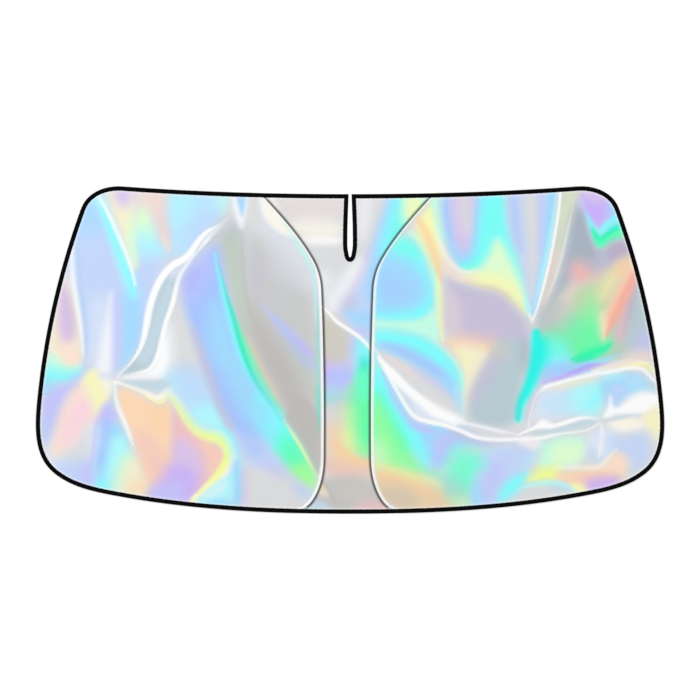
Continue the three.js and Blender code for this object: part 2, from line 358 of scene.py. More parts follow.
cloth_edge = right_edge + CLOTH_EDGE_INSET * rightward(right_edge)
top_corner = int(np.argmax(cloth_edge.sum(axis=1)))
bottom_corner = int(np.argmax(cloth_edge[:, 0] - cloth_edge[:, 1]))
top_run = cloth_edge[:top_corner + 1]
bottom_run = cloth_edge[bottom_corner:][::-1]
side_run = cloth_edge[top_corner:bottom_corner + 1][::-1]
row_shares = np.linspace(0, 1, ROWS + 1)


def run_between(run, first_x, last_x, shares):
    """Points along the top or bottom run, from one x to another."""
    within = run[(run[:, 0] > first_x) & (run[:, 0] < last_x)]
    ends = [(x, np.interp(x, run[:, 0], run[:, 1])) for x in (first_x, last_x)]
    return resampled(np.vstack([ends[:1], within, ends[1:]]), shares)


def channel_rows(side, towards_hoop):
    """The channel's line moved towards its hoop and cut at the cloth's edge, from the bottom up."""
    knots = channel_knots(side)
    line = smooth_line(knots)
    reach = np.linspace(0, RUN_OUT, 15)[1:, None]
    above = (line[0] - reach * unit(knots[0][2]))[::-1]
    below = line[-1] + reach * unit(knots[-1][2])
    line = np.vstack([above, line, below])
    line = line - towards_hoop * rightward(line)
    over = line[:, 1] - np.interp(line[:, 0], top_run[:, 0], top_run[:, 1])
    under = np.interp(line[:, 0], bottom_run[:, 0], bottom_run[:, 1]) - line[:, 1]
    i = int(np.argmax(over < 0))
    j = len(line) - 1 - int(np.argmax(under[::-1] < 0))
    top = line[i - 1] + (line[i] - line[i - 1]) * over[i - 1] / (over[i - 1] - over[i])
    bottom = line[j + 1] + (line[j] - line[j + 1]) * under[j + 1] / (under[j + 1] - under[j])
    return resampled(np.vstack([top, line[i:j + 1], bottom])[::-1], row_shares)


def blended(near, far, bottom, top, shares):
    """Points between four border lines, rows first and then columns."""
    u, v = shares[None, :, None], row_shares[:, None, None]
    across = (1 - u) * near[:, None] + u * far[:, None]
    along = (1 - v) * bottom[None] + v * top[None]
    corners = (1 - v) * ((1 - u) * near[0] + u * far[0]) + v * ((1 - u) * near[-1] + u * far[-1])
    return across + along - corners


slot_side = right_slot + SLOT_EDGE_INSET * rightward(right_slot)
slot_side[0, 0] = 0
slot_side = slot_side[slot_side[:, 1] < top_y - CLOTH_EDGE_INSET]
below_tip = slot_side[0, 1] - bottom_run[0, 1]
tip_row = round(ROWS * below_tip / (below_tip + SLOT_DEPTH))
centre_rows = np.vstack([
    resampled(np.array([bottom_run[0], slot_side[0]]), np.linspace(0, 1, tip_row + 1))[:-1],
    resampled(np.vstack([slot_side, (slot_side[-1, 0], top_y - CLOTH_EDGE_INSET)]),
              np.linspace(0, 1, ROWS - tip_row + 1)),
])


def half_net(side):
    """Columns from the middle line out to the edge, for the right side; the left one is mirrored."""
    band = np.stack([channel_rows(side, offset) for offset in BAND_OFFSETS], axis=1)
    near, far = band[:, 0], band[:, -1]
    shares = np.linspace(0, 1, MIDDLE_COLUMNS + 1)
    middle = blended(centre_rows, near, run_between(bottom_run, 0, near[0, 0], shares),
                     run_between(top_run, centre_rows[-1, 0], near[-1, 0], shares), shares)
    shares = np.linspace(0, 1, FIELD_COLUMNS + 1)
    field = blended(far, resampled(side_run, row_shares),
                    run_between(bottom_run, far[0, 0], bottom_run[-1, 0], shares),
                    run_between(top_run, far[-1, 0], top_run[-1, 0], shares), shares)
    return np.concatenate([middle[:, :-1], band[:, :-1], field], axis=1)


right_net = half_net(1)
left_net = half_net(-1) * (-1, 1)
HALF_COLUMNS = right_net.shape[1] - 1
print("net", ROWS, "rows by", 2 * HALF_COLUMNS, "columns, slot tip in row", tip_row)

# %% [markdown]
# Heights come next. Over a wire the cloth makes a small tent: its hoop side falls away gently, because
# the sprung wire pulls that side taut, and its other side drops steeply into the seam. Beside each seam the
# stitching gathers the cloth into faint puckers, and the wide fields are never quite flat.

# %% Heights of the cloth
RIDGE_TOP = 3.5
HOOP_FLANK, SEAM_FLANK = 6.5, 3.0
PUCKER, PUCKER_PITCH = 0.24, 17.0
PUCKERS_BY_TAPE, PUCKERS_BY_WIRE = (10, 17, 42), (4, 9, 30)
SWELL, SWELL_PITCH = 0.9, 190.0
SWELL_WAVES = ((5.1, 2.3, 0.6), (-4.2, 3.7, 2.1))
SWELL_FROM_EDGE, SWELL_FROM_SLOT, SWELL_FROM_WIRE = (12, 60), (12, 50), (5, 30)
PUCKERS_FROM_EDGE, RIDGE_FROM_EDGE = (10, 30), (5, 9.5)


def tent(distance, reach):
    """1 at no distance, falling to 0 at the reach."""
    return (1 - np.clip(distance / reach, 0, 1) ** 2) ** 2


def ramp(value, start, end):
    """0 before start, 1 after end, with a soft turn at both."""
    t = np.clip((value - start) / (end - start), 0, 1)
    return t * t * (3 - 2 * t)


def hump(value, start, top, end):
    """0 up to the start, 1 at the top and 0 again from the end on."""
    return ramp(value, start, top) * (1 - ramp(value, top, end))


def wave(run, pitch, seed):
    """An uneven wave along a seam, from -1 to 1."""
    slow = np.sin(2 * math.pi * run / (pitch * 4.3) + seed)
    return np.sin(2 * math.pi * run / pitch + 1.7 * slow + 2 * seed) * (0.65 + 0.35 * slow)


def from_channel(name, points):
    """Signed distance from the channel's wire, positive on its hoop side, and the run along it."""
    distance, run, side = inner_near[name].measure(points)
    return distance * side * (-1 if name == "right" else 1), run


def cloth_heights(points):
    """The height of the printed side over each point."""
    edge, edge_run, _ = edge_near.measure(points)
    slot, slot_run, _ = slot_near.measure(points)
    x, y = points.T / SWELL_PITCH
    swell = 0.5 + sum(0.25 * np.sin(a * x + b * y + phase) for a, b, phase in SWELL_WAVES)
    heights = SWELL * swell * ramp(edge, *SWELL_FROM_EDGE) * ramp(slot, *SWELL_FROM_SLOT)
    for border, run in ((edge, edge_run), (slot, slot_run)):
        heights += PUCKER * wave(run, PUCKER_PITCH, 0.4) * hump(border, *PUCKERS_BY_TAPE)
    for i, name in enumerate(hoops):
        offset, run = from_channel(name, points)
        distance = np.abs(offset)
        heights *= ramp(distance, *SWELL_FROM_WIRE)
        gathered = hump(distance, *PUCKERS_BY_WIRE) * ramp(edge, *PUCKERS_FROM_EDGE)
        heights += PUCKER * wave(run, PUCKER_PITCH, 1.3 + i) * gathered
        over_wire = np.where(offset > 0, tent(distance, HOOP_FLANK), tent(distance, SEAM_FLANK))
        heights += (RIDGE_TOP - CLOTH_TOP) * over_wire * ramp(edge, *RIDGE_FROM_EDGE)
    return CLOTH_TOP + heights


# %% [markdown]
# A plain grid becomes the cloth: it is cut open along the slot, and each of its points moves to its
# place in the net and up to its height. Row and column stay with every point for the steps to come.

# %% Cloth mesh
cloth_form = bmesh.new()
bmesh.ops.create_grid(cloth_form, x_segments=2 * HALF_COLUMNS, y_segments=ROWS, size=1)
row_of = cloth_form.verts.layers.int.new("row")
column_of = cloth_form.verts.layers.int.new("column")
for vert in cloth_form.verts:
    vert[row_of] = round((vert.co.y + 1) / 2 * ROWS)
    vert[column_of] = round(vert.co.x * HALF_COLUMNS)
slot_cut = [
    edge for edge in cloth_form.edges
    if all(vert[column_of] == 0 and vert[row_of] >= tip_row for vert in edge.verts)
]
bmesh.ops.split_edges(cloth_form, edges=slot_cut)
places = []
for vert in cloth_form.verts:
    on_left = sum(face.calc_center_median().x for face in vert.link_faces) < 0
    net = left_net if on_left else right_net
    places.append(net[vert[row_of], abs(vert[column_of])])
places = np.array(places)
heights = cloth_heights(places)
for vert, (x, y), z in zip(cloth_form.verts, places, heights):
    vert.co = (x * MM, y * MM, z * MM)
front_faces = len(cloth_form.faces)
print("front", front_faces, "faces, ridge top", heights.max().round(2), "mm")

# %% [markdown]
# The foil print has no outline of its own. It is a rainbow of soft patches, with thin creases of light and
# shade laid over them. A factory prints it from a picture. Here each patch and each crease is placed one
# by one, in centimetres from the middle of the shade, and takes its ink from a named palette. Every point of
# the cloth then holds its mixed colour, so the print needs no picture file. FEATHER widens all soft edges,
# and FINEST is about the spacing of the points, in centimetres.

# %% Palette and ways to lay it down
INKS = {
    "white": "#ffffff", "pearl": "#f3f5fb", "silver": "#dcdddf", "grey": "#c9cacb", "warm_grey": "#bcb9b6",
    "slate": "#a9b3c0", "sage": "#bfcbc0", "mist": "#c4d9e4", "steel": "#b9cbd2", "stone": "#cfccc2",
    "sky": "#a4dafd", "pale_sky": "#bce6fd", "periwinkle": "#c5d7f8", "blue": "#a9c4fb",
    "deep_periwinkle": "#a9a8f4", "ice": "#dfe8f7", "powder": "#bcd3f2", "lavender": "#c5c6fa",
    "violet": "#cab2f8", "lilac": "#d8c6ee", "mauve": "#b9aec6", "grey_lilac": "#c7c1d8",
    "cyan": "#84fbfd", "pale_cyan": "#b4f8fe", "aqua": "#6efedf", "teal": "#3fe3cc", "sea": "#15efe1",
    "mint": "#c8fce6", "green": "#66f8a8", "leaf": "#a4fb9c", "lime": "#e0fdd4", "emerald": "#1af2a9",
    "lemon": "#fafab8", "yellow": "#f0fd98", "cream": "#f5efd2", "ivory": "#fbf7ea", "apricot": "#fbd9b8",
    "peach": "#fbe3d4", "orange": "#fad0a0", "pink": "#fad8e2", "rose": "#efc3c6", "salmon": "#f8ab9c",
    "blush": "#efdcd6", "tan": "#e6d0ae",
}
FEATHER, FINEST = 1.4, 0.42
print_x, print_y = places.T / 10


def ink(name):
    return np.array([int(INKS[name][i:i + 2], 16) for i in (1, 3, 5)]) / 255


def rounded(points, closed):
    """The line with its corners cut twice, which leaves a smooth curve."""
    line = np.array(points, float)
    for _ in range(2):
        near, far = (line, np.roll(line, -1, axis=0)) if closed else (line[:-1], line[1:])
        cut = np.stack([0.75 * near + 0.25 * far, 0.25 * near + 0.75 * far], axis=1).reshape(-1, 2)
        line = cut if closed else np.vstack([line[:1], cut, line[-1:]])
    return line


def points_near(line, reach):
    """The numbers of the cloth's points in a box round the line."""
    (left, low), (right, high) = line.min(axis=0) - reach, line.max(axis=0) + reach
    return np.flatnonzero((print_x > left) & (print_x < right) & (print_y > low) & (print_y < high))


def reach_of(line, closed, ids):
    """For some points: distance to the line, share of its length there, and whether the line holds them."""
    x, y = print_x[ids], print_y[ids]
    starts, ends = (line, np.roll(line, -1, axis=0)) if closed else (line[:-1], line[1:])
    run = np.concatenate([[0], np.cumsum(np.hypot(*(ends - starts).T))])
    least, along, inside = np.full(len(ids), 1e9), np.zeros(len(ids)), np.zeros(len(ids), bool)
    for i, ((ax, ay), (bx, by)) in enumerate(zip(starts, ends)):
        dx, dy = bx - ax, by - ay
        t = np.clip(((x - ax) * dx + (y - ay) * dy) / (dx * dx + dy * dy + 1e-12), 0, 1)
        away = np.hypot(x - ax - t * dx, y - ay - t * dy)
        closer = away < least
        least[closer] = away[closer]
        along[closer] = (run[i] + t * (run[i + 1] - run[i]))[closer]
        if closed and ay != by:
            inside ^= ((ay > y) != (by > y)) & (x < ax + (y - ay) / (by - ay) * dx)
    return least, along / run[-1], inside


def lay(ids, name, cover):
    """Mixes an ink into the colour of some points, as far as the stencil lets it."""
    print_colour[ids] += (ink(name) - print_colour[ids]) * (cover * stencil[ids])[:, None]


def patch(name, soft, *points, strength=1.0):
    """A closed area whose edge fades over the soft width on either side."""
    soft *= FEATHER
    line = rounded(points, True)
    ids = points_near(line, soft)
    least, _, inside = reach_of(line, True, ids)
    lay(ids, name, strength * ramp(np.where(inside, least, -least), -soft, soft))


def stroke(name, width, *points, soft=1.0, strength=1.0, tips=(0.3, 0.3)):
    """A line that fades out to its width and narrows at both ends to a share of it.

    Where it would be finer than the net of points, it stays that wide and turns faint instead.
    """
    line = rounded(points, False)
    ids = points_near(line, width)
    least, along, _ = reach_of(line, False, ids)
    start = tips[0] + (1 - tips[0]) * ramp(along, 0, 1 / 3)
    end = tips[1] + (1 - tips[1]) * ramp(1 - along, 0, 1 / 3)
    half = width * np.minimum(start, end)
    shown = np.maximum(half, FINEST)
    lay(ids, name, strength * half / shown * ramp((1 - least / shown) / soft, 0, 1))


def report(part):
    print(part + ", mean colour", print_colour.mean(axis=0).round(3))


print_colour = np.repeat(ink("silver")[None], len(places), axis=0)
stencil = np.ones(len(places))
print("palette of", len(INKS), "inks over", len(places), "points")

# %% [markdown]
# The left end is sky blue and periwinkle. A cyan band falls through it, beside a cream wedge with a
# pale rim. Broad quiet patches go down first, and the bright edges go over them.

# %% Print: outer left
# sky and periwinkle down the left side
patch("periwinkle", 5, (-72, 40), (-40, 40), (-40, -3), (-72, -3))
patch("sky", 3, (-66, 38), (-57, 38), (-55.5, 31), (-57, 27.5), (-63, 27), (-66, 30), strength=0.75)
patch("ice", 3, (-60, 12), (-56, 12), (-54, 2), (-54, -6), (-61, -6), strength=0.8)
patch("pearl", 1, (-55, 15), (-54.6, 8), (-54.6, -5), (-58.8, -6), (-57.6, 1), (-56.2, 8))
# the cyan band that falls into the sky blue column
patch("sky", 1.6, (-52.5, 17), (-48.6, 16), (-48.3, 6), (-49.5, 0), (-53.8, -5.5), (-52.2, 0))
patch("lavender", 1.2, (-54.7, 14), (-53, 12), (-52.6, 0), (-53.8, -5), (-54.8, -2), strength=0.7)
patch("pale_cyan", 1.4, (-60, 36), (-57, 36), (-54.5, 29), (-52.4, 22), (-50.5, 18), (-49, 13), (-50.5, 12),
      (-52.8, 18), (-55.3, 26), (-57.5, 32))
stroke("cyan", 2.6, (-57.4, 33), (-55, 28), (-53.4, 23.5), (-51.9, 19.5), (-50.7, 16), (-50, 12), soft=1.3,
       strength=0.85)
# cream wedge with its pale rim
patch("cream", 1.2, (-57, 38), (-49.8, 38), (-49.6, 28), (-49.4, 18), (-50.8, 21), (-53, 26.5), (-55.2, 32))
patch("lime", 1.6, (-51.6, 29), (-49, 29), (-49.2, 19), (-50.5, 20), (-51.3, 24), strength=0.8)
patch("lilac", 1.6, (-54.8, 38), (-50, 38), (-50.6, 34), (-52.5, 33), (-54.3, 34.6))
stroke("white", 0.9, (-58.6, 36.5), (-56, 32), (-54, 27.5), (-52.2, 23.5), (-50.6, 19.5), (-49.6, 15),
       soft=1.2, tips=(0.8, 0.6))
# pale pink and mint between the wedge and the light blue
patch("blush", 2, (-50, 38), (-43, 38), (-43, 33), (-46, 31), (-50, 32))
patch("lime", 1.8, (-50, 32.5), (-46, 32.5), (-45, 28), (-45, 25), (-50, 26))
patch("pale_cyan", 2, (-49.6, 28), (-45.5, 28), (-43, 24), (-42, 22), (-49.6, 21), strength=0.75)
patch("pale_sky", 1.6, (-42.5, 38), (-27.5, 38), (-27.5, 31), (-34, 27), (-38, 21), (-41.5, 23))
patch("pale_cyan", 2, (-42.5, 37), (-36, 37), (-37, 31), (-41.5, 27), strength=0.5)
patch("lavender", 2.5, (-34, 33), (-29, 31), (-33, 27), (-37, 22), (-38, 26), strength=0.35)
patch("mint", 1.5, (-31, 37), (-28, 37), (-28.3, 31), (-30.2, 33), strength=0.7)
stroke("rose", 2.6, (-44.9, 38), (-44.4, 33), (-43.5, 29.5), (-42.6, 26), (-42, 22), soft=1.2, strength=0.55,
       tips=(1, 0))
patch("blush", 1.2, (-47, 38), (-43, 38), (-42.4, 31), (-41.4, 23), (-42.6, 23), (-45, 29), (-46.4, 33),
      strength=0.7)
stroke("lemon", 1, (-43.6, 27), (-42.6, 24.5), (-41.8, 22.4), soft=1.4, strength=0.3)
# violet window at the left edge
patch("cream", 1.2, (-70, 12), (-66, 19), (-64.2, 14), (-62.4, 6), (-62, -3), (-65, -4.6), (-70, -3))
patch("blush", 1.5, (-67.2, 17), (-64.6, 13), (-63, 5), (-63, 0), (-67.5, 0), (-68, 5))
patch("violet", 1.5, (-66.5, 17), (-64.8, 12), (-63.9, 6), (-64.4, 2.5), (-66.6, 2.5), (-67.6, 9),
      strength=0.6)
patch("mauve", 1.6, (-66, 14), (-64, 11), (-63.2, 4), (-65.4, 3), strength=0.35)
patch("peach", 1.2, (-66.5, 1), (-62.3, 1), (-62.3, -2.6), (-65, -3.6), (-67, -1.5))
stroke("white", 1.3, (-64, 27), (-64.3, 18), (-63.3, 12), (-62.2, 6), (-61.6, -1), soft=1.2, strength=0.9)
stroke("powder", 1.1, (-62.7, 26), (-62.4, 17), (-61.8, 11), (-60.9, 4), (-60.8, -2), (-61.6, -5), soft=1.2)
# mint and cyan under it
patch("mint", 1.3, (-70.5, -1), (-67.5, -1.5), (-66.5, -3.8), (-62.3, -4), (-61.8, -5), (-70.5, -6))
patch("cyan", 1.4, (-71, -3.8), (-67.6, -4.2), (-65, -5), (-62.3, -4.6), (-61, -5.6), (-63.5, -7.6),
      (-67, -8), (-71, -8.5), strength=0.85)
patch("lavender", 1.6, (-71, -9), (-66, -7.8), (-61.5, -5.5), (-60.4, -4), (-61.5, -7.5), (-65.5, -11),
      (-67.4, -17), (-69.5, -23), (-72, -18))
patch("powder", 1.4, (-72, -16), (-69.3, -16), (-68.5, -20), (-70, -23.5), (-72, -20), strength=0.7)
patch("sky", 1.5, (-71.4, -6.5), (-68.5, -7.5), (-69.4, -10), (-71.6, -10), strength=0.8)
report("outer left")

# %% [markdown]
# The folds of the foil meet in a star here. An orange wing with a yellow rim spreads below the star,
# and a pink field lies left of it.

# %% Print: left of the waist
# pink zone and the greys below it
patch("ice", 2, (-71, -20), (-55, -16), (-55, -36), (-71, -34))
patch("periwinkle", 2, (-68, -25), (-59, -23), (-58, -33), (-68, -33))
patch("lavender", 1.6, (-62.6, -27), (-59.6, -25), (-59.4, -32), (-62, -32), strength=0.8)
patch("silver", 1.6, (-68.5, -25), (-64, -21.5), (-59.5, -16), (-59, -22), (-60.3, -25.5), strength=0.9)
patch("peach", 1.6, (-60.5, -6), (-64.5, -10), (-66.4, -14), (-67.8, -19), (-69.6, -24.5), (-66, -24),
      (-60.5, -17), (-57.8, -14))
patch("pink", 2.2, (-62, -10.5), (-66, -15), (-67, -21.5), (-64, -21), (-60, -16.5), (-59.4, -12))
patch("cream", 1, (-60.6, -4.5), (-57, -5), (-55.4, -9.5), (-55.4, -12.5), (-58.3, -16), (-60, -12),
      (-62.3, -7.5))
patch("lemon", 0.9, (-60, -4.4), (-57.8, -5.4), (-56.6, -9), (-56.2, -12), (-57.8, -14.4), (-59.2, -12),
      (-59.6, -9.6), (-61.4, -7.4), strength=0.6)
# blue downstroke
patch("lavender", 1, (-56.6, -12), (-54.4, -12), (-53.2, -16), (-56, -19), (-58.6, -18), (-58, -14.5))
patch("sky", 1.5, (-58.4, -17.5), (-52.6, -16.5), (-51.5, -20.5), (-54, -31), (-59, -32), (-58.5, -24))
patch("blue", 1.2, (-58, -16.5), (-55, -16), (-56, -21), (-57.3, -27), (-58.6, -27), strength=0.8)
patch("pale_cyan", 1.3, (-55, -20), (-51.8, -19.5), (-50.8, -24), (-55.3, -31), (-57.5, -33), (-56, -26))
patch("mint", 1.4, (-53.6, -24), (-50.4, -23), (-49, -27), (-52, -33), (-55.6, -33))
patch("cyan", 1, (-58.6, -29.6), (-56.2, -30), (-55.6, -33), (-59, -33), strength=0.7)
patch("ice", 1.6, (-61.6, -17), (-58, -16.6), (-57, -21), (-59.6, -24.6), (-61.4, -22), strength=0.55)
patch("cream", 1.6, (-52.8, -27), (-49.4, -24), (-47, -28.5), (-46, -34), (-53.4, -34))
patch("apricot", 1.6, (-51, -31), (-47.6, -29), (-45, -34), (-51.5, -34), strength=0.6)
stroke("lavender", 1.1, (-58.6, -16), (-58.9, -20), (-59.6, -25), (-60.2, -28), soft=1.3, strength=0.6)
# orange wing
patch("apricot", 1, (-53.4, -8.3), (-50, -9.5), (-46.4, -11.8), (-43.8, -13.3), (-42.2, -11.8), (-41, -13),
      (-41, -30), (-45, -33), (-47.4, -29), (-49.3, -22), (-51.6, -17), (-53.3, -13))
patch("rose", 2, (-49.5, -18.5), (-46.5, -19.5), (-42, -24), (-41.5, -30), (-45, -32), (-48, -25.5),
      strength=0.55)
patch("orange", 1.2, (-46, -12.4), (-42.5, -12.6), (-41.7, -19), (-46, -19), strength=0.35)
patch("rose", 1, (-41.3, -12), (-38.6, -15), (-33, -20.5), (-28.6, -23.6), (-29, -26.5), (-35, -33.5),
      (-37, -36), (-41.2, -33))
patch("apricot", 1, (-35.5, -21.5), (-32, -21), (-28.6, -23.2), (-28.8, -26), (-31.5, -29.5), (-33.5, -28),
      (-33, -24), strength=0.5)
patch("lilac", 1.6, (-41, -20), (-37, -21), (-34, -25), (-33.8, -29), (-37, -36), (-41, -36), strength=0.9)
patch("violet", 1.8, (-42, -26), (-36, -27.5), (-35, -31), (-38, -36), (-47, -35), (-44, -30), strength=0.85)
patch("lavender", 1.5, (-46, -31), (-38, -29.5), (-38.5, -36), (-47, -36), strength=0.8)
# the bright rim over the wing, yellow to the right
stroke("ivory", 1.3, (-53.6, -7.4), (-50, -8.7), (-47, -9.9), (-44.6, -11.3), (-43.2, -10.6), (-42.2, -8.9),
       (-41, -10.2), (-39, -13), (-37.2, -15.7), (-35, -18.3), (-32.5, -19.2), (-30.5, -19.3), (-28.6, -20.8),
       (-27, -23.8), (-27.2, -26.8), (-29.6, -29.5), (-33, -32), (-36, -34.5), tips=(0.4, 1), soft=0.7)
stroke("lemon", 1.7, (-47, -10.6), (-44.4, -12.2), (-43, -12), (-42, -10), (-40.8, -11.4), (-39, -14),
       (-37.2, -16.8), (-35, -19.2), (-32.3, -20.2), (-30, -20.6), (-28.4, -22.4), (-28, -25), (-29.6, -27.8),
       (-33, -31), (-36.6, -35), soft=1.2, tips=(0.3, 0.5))
stroke("yellow", 2.5, (-40.6, -11.6), (-39, -13.8), (-37, -16.4), (-34.8, -18.8), (-32.3, -19.8), (-30, -20),
       (-28.5, -21.8), (-27.9, -24.5), (-29, -27), soft=1.2, tips=(0.4, 0))
stroke("white", 1, (-54.3, -7.2), (-54.4, -10), (-53.7, -13), (-52.1, -16.5), (-50.6, -20.4), (-49.4, -24),
       soft=1.2, tips=(0.7, 0))
stroke("yellow", 1.5, (-34, -19.4), (-31, -20.2), (-28.6, -22), (-28.3, -25), (-30, -28), (-33, -31),
       soft=1.2, strength=0.9)
patch("mist", 0.5, (-54.4, -7.6), (-54.8, -10), (-54.2, -14), (-55, -13.4), (-55.4, -10.4))
report("left of the waist")

# %% [markdown]
# Fine creases of light run out of the star. They are strokes, wide in the middle and thin at the tips.

# %% Print: left creases
# light fields right of the crease
patch("silver", 2, (-44, 20), (-38, 20), (-36, 6), (-33, -5), (-38, -8), (-44, -3))
patch("pearl", 1.6, (-43.6, 6), (-41, 6), (-40.4, -4), (-43, -7), (-46, -6.6), strength=0.9)
patch("pale_sky", 2.2, (-44, -5), (-36, -4), (-31.6, -9), (-29, -17), (-35, -18), (-39.4, -12), (-42, -8.6))
patch("periwinkle", 1.8, (-40, -3), (-35, -3), (-32.4, -9), (-34, -13), (-39, -9), strength=0.6)
patch("pale_cyan", 1.6, (-37, -13.5), (-31, -12.5), (-28, -18), (-25.8, -22), (-25, -27), (-26.6, -27),
      (-28, -21), (-31, -18.6), (-34.4, -17.6))
stroke("cyan", 1, (-30.6, -17.6), (-28, -19), (-26.4, -21.5), (-25.4, -25), soft=1.3, strength=0.7)
# grey-blue strip between the two bright folds
patch("steel", 0.8, (-26.5, 33), (-33, 26.5), (-36.6, 22.5), (-39, 19.6), (-42, 18.2), (-45, 12), (-46.8, 5),
      (-48, 0), (-53.5, -6.1), (-48, -4.7), (-45.6, -4), (-44, 1), (-42.6, 6.4), (-41, 12), (-39.4, 18),
      (-35.5, 21.5), (-30, 27))
patch("mist", 0.9, (-41.5, 17), (-44, 12), (-47, 2), (-50, -3), (-46.4, -3.6), (-44.4, 0.4), (-42.6, 8),
      (-40.8, 13.5))
patch("ice", 0.8, (-36.2, 22.2), (-39.4, 19.4), (-42.2, 18.2), (-41.4, 16), (-39.8, 17), (-37, 20),
      strength=0.8)
stroke("white", 1.12, (-27, 33), (-28.2, 30.4), (-30.6, 28.6), (-33.2, 27.3), (-35.2, 25), (-37.4, 21.4),
       (-40.4, 20), (-42.5, 18.2), (-44.7, 14.8), (-46.3, 10), (-47.1, 5), (-48, 1.2), (-49.8, -2.2),
       (-53.7, -6), soft=0.6, tips=(0.1, 0.15))
stroke("pearl", 1.1, (-27.4, 31), (-29.6, 28.6), (-31.6, 27), (-33.4, 25.2), (-34.8, 23.4), tips=(0.2, 0.4))
stroke("white", 0.8, (-32.5, 25.6), (-35.4, 22.4), (-38, 19.2), (-39.4, 17), (-40.2, 14), (-41, 10.5),
       (-42.4, 7), (-43.4, 3), (-44.2, -1), (-46, -4.4), (-49, -5.3), (-53.6, -6.4), soft=0.7,
       tips=(0.3, 0.1))
patch("white", 0.8, (-45, -3.6), (-43.8, 0), (-42.6, 4), (-42, -1), (-42.6, -5.6), (-46, -6.3), (-53.5, -6.6),
      (-48, -5.4), strength=0.9)
stroke("pearl", 0.6, (-53.6, -6.7), (-49, -6.3), (-44.4, -6.4), (-42.4, -5.5), tips=(0.3, 0.4))
patch("mist", 0.7, (-53.4, -7), (-46, -7.2), (-42.2, -6.8), (-41.6, -8.3), (-44, -9.6), (-47.4, -9),
      (-50, -8.2))
patch("ice", 0.6, (-54.4, -6.4), (-57.6, -5), (-58.4, -6), (-56.6, -7.4), strength=0.9)
patch("ivory", 0.7, (-54.4, -6.9), (-57.6, -7), (-56.6, -9.4), (-55.2, -10.4), strength=0.8)
report("left creases")

# %% [markdown]
# A long blue wedge slants down to the right, with a thin green line along it. Beyond that line the
# foil is a quiet grey up to the seam.

# %% Print: blue wedge
# greys between the blue and the seam
patch("silver", 2, (-27, 37), (-10, 37), (-4, 20), (-4, -14), (-10, -26), (-22, -5), (-26, 10), (-31, 24))
patch("slate", 2.4, (-31, 26.5), (-27, 30), (-24.5, 28), (-25, 22), (-30, 21), strength=0.65)
patch("sage", 2.2, (-30, 23), (-25, 23.5), (-24.4, 12), (-22.5, 3), (-25, 3), (-28, 14), strength=0.95)
patch("grey", 2.4, (-24.5, 27), (-18, 25), (-12, 18), (-7, 10), (-7, -20), (-12, -20), (-20, -4), (-24.5, 8))
patch("warm_grey", 2.6, (-23.8, 12), (-20.5, 7), (-16, 1.6), (-12, -5), (-7.6, -18), (-8, -27), (-11, -22),
      (-18, -9), (-22.8, 0), (-24.4, 7), strength=0.9)
patch("grey_lilac", 2.2, (-24, 23), (-20.5, 20), (-19.6, 13), (-22.5, 13.5), (-24, 17), strength=0.45)
patch("ice", 1.8, (-21, 33), (-13, 27.4), (-9, 20), (-7.4, 14), (-11.5, 14), (-17.6, 17), (-19.8, 25),
      strength=0.35)
stroke("lavender", 2.3, (-20.4, 10.4), (-18, 7.6), (-15, 4.8), (-12, 2), (-9.6, -0.6), (-8, -4), soft=1.3,
       strength=0.75)
patch("blue", 1.3, (-18.6, 8.4), (-15, 6), (-12.4, 2.6), (-9.6, -1.8), (-8.4, -4.6), (-10.6, -4.2),
      (-13.4, 0), strength=0.5)
patch("violet", 1, (-12.6, 3.2), (-9.6, 0.4), (-8.3, -1), (-10, -1), (-12, 1), strength=0.5)
stroke("sage", 1.4, (-14.6, 0), (-11.4, -4.4), (-8.6, -8), (-7.3, -13), (-7.2, -19), soft=1.3, strength=0.8)
stroke("teal", 1.7, (-7.4, 12), (-7.2, 4), (-7.2, -6), (-7.1, -14), (-7.1, -20), soft=1.4, strength=0.34,
       tips=(0.2, 0.3))
stroke("tan", 1.7, (-23.8, 4), (-22.6, 1), (-20.8, -4), (-18, -9), (-15.6, -12.6), soft=1.3, strength=0.5)
patch("pearl", 0.8, (-21, 36.5), (-18.6, 36.5), (-13, 28), (-12.6, 25.8), (-16, 27), (-19.4, 29.8),
      (-20.8, 33))
patch("sage", 1.2, (-29.8, 27), (-25.6, 28), (-24.6, 20), (-24, 10), (-22.6, 5), (-24.8, 6), (-27.4, 15),
      strength=0.75)
patch("ivory", 0.45, (-20.8, 36.6), (-19.4, 36.6), (-14.5, 29.5), (-12.8, 26), (-15.5, 26.8), (-18.2, 28.6),
      (-20, 31.2), strength=0.8)
stroke("warm_grey", 1, (-24.9, 28), (-24.9, 22), (-24.6, 16), (-23.4, 10), (-21.6, 4), soft=1.3, strength=0.5)
stroke("pale_cyan", 1, (-14.6, 27), (-11, 22.6), (-8.8, 19), (-8, 15), (-7.9, 6), soft=1.2, strength=0.6)
stroke("mint", 0.9, (-15.8, 30), (-13, 26.6), (-10.6, 22.6), (-8.8, 19), soft=1.2, strength=0.7)
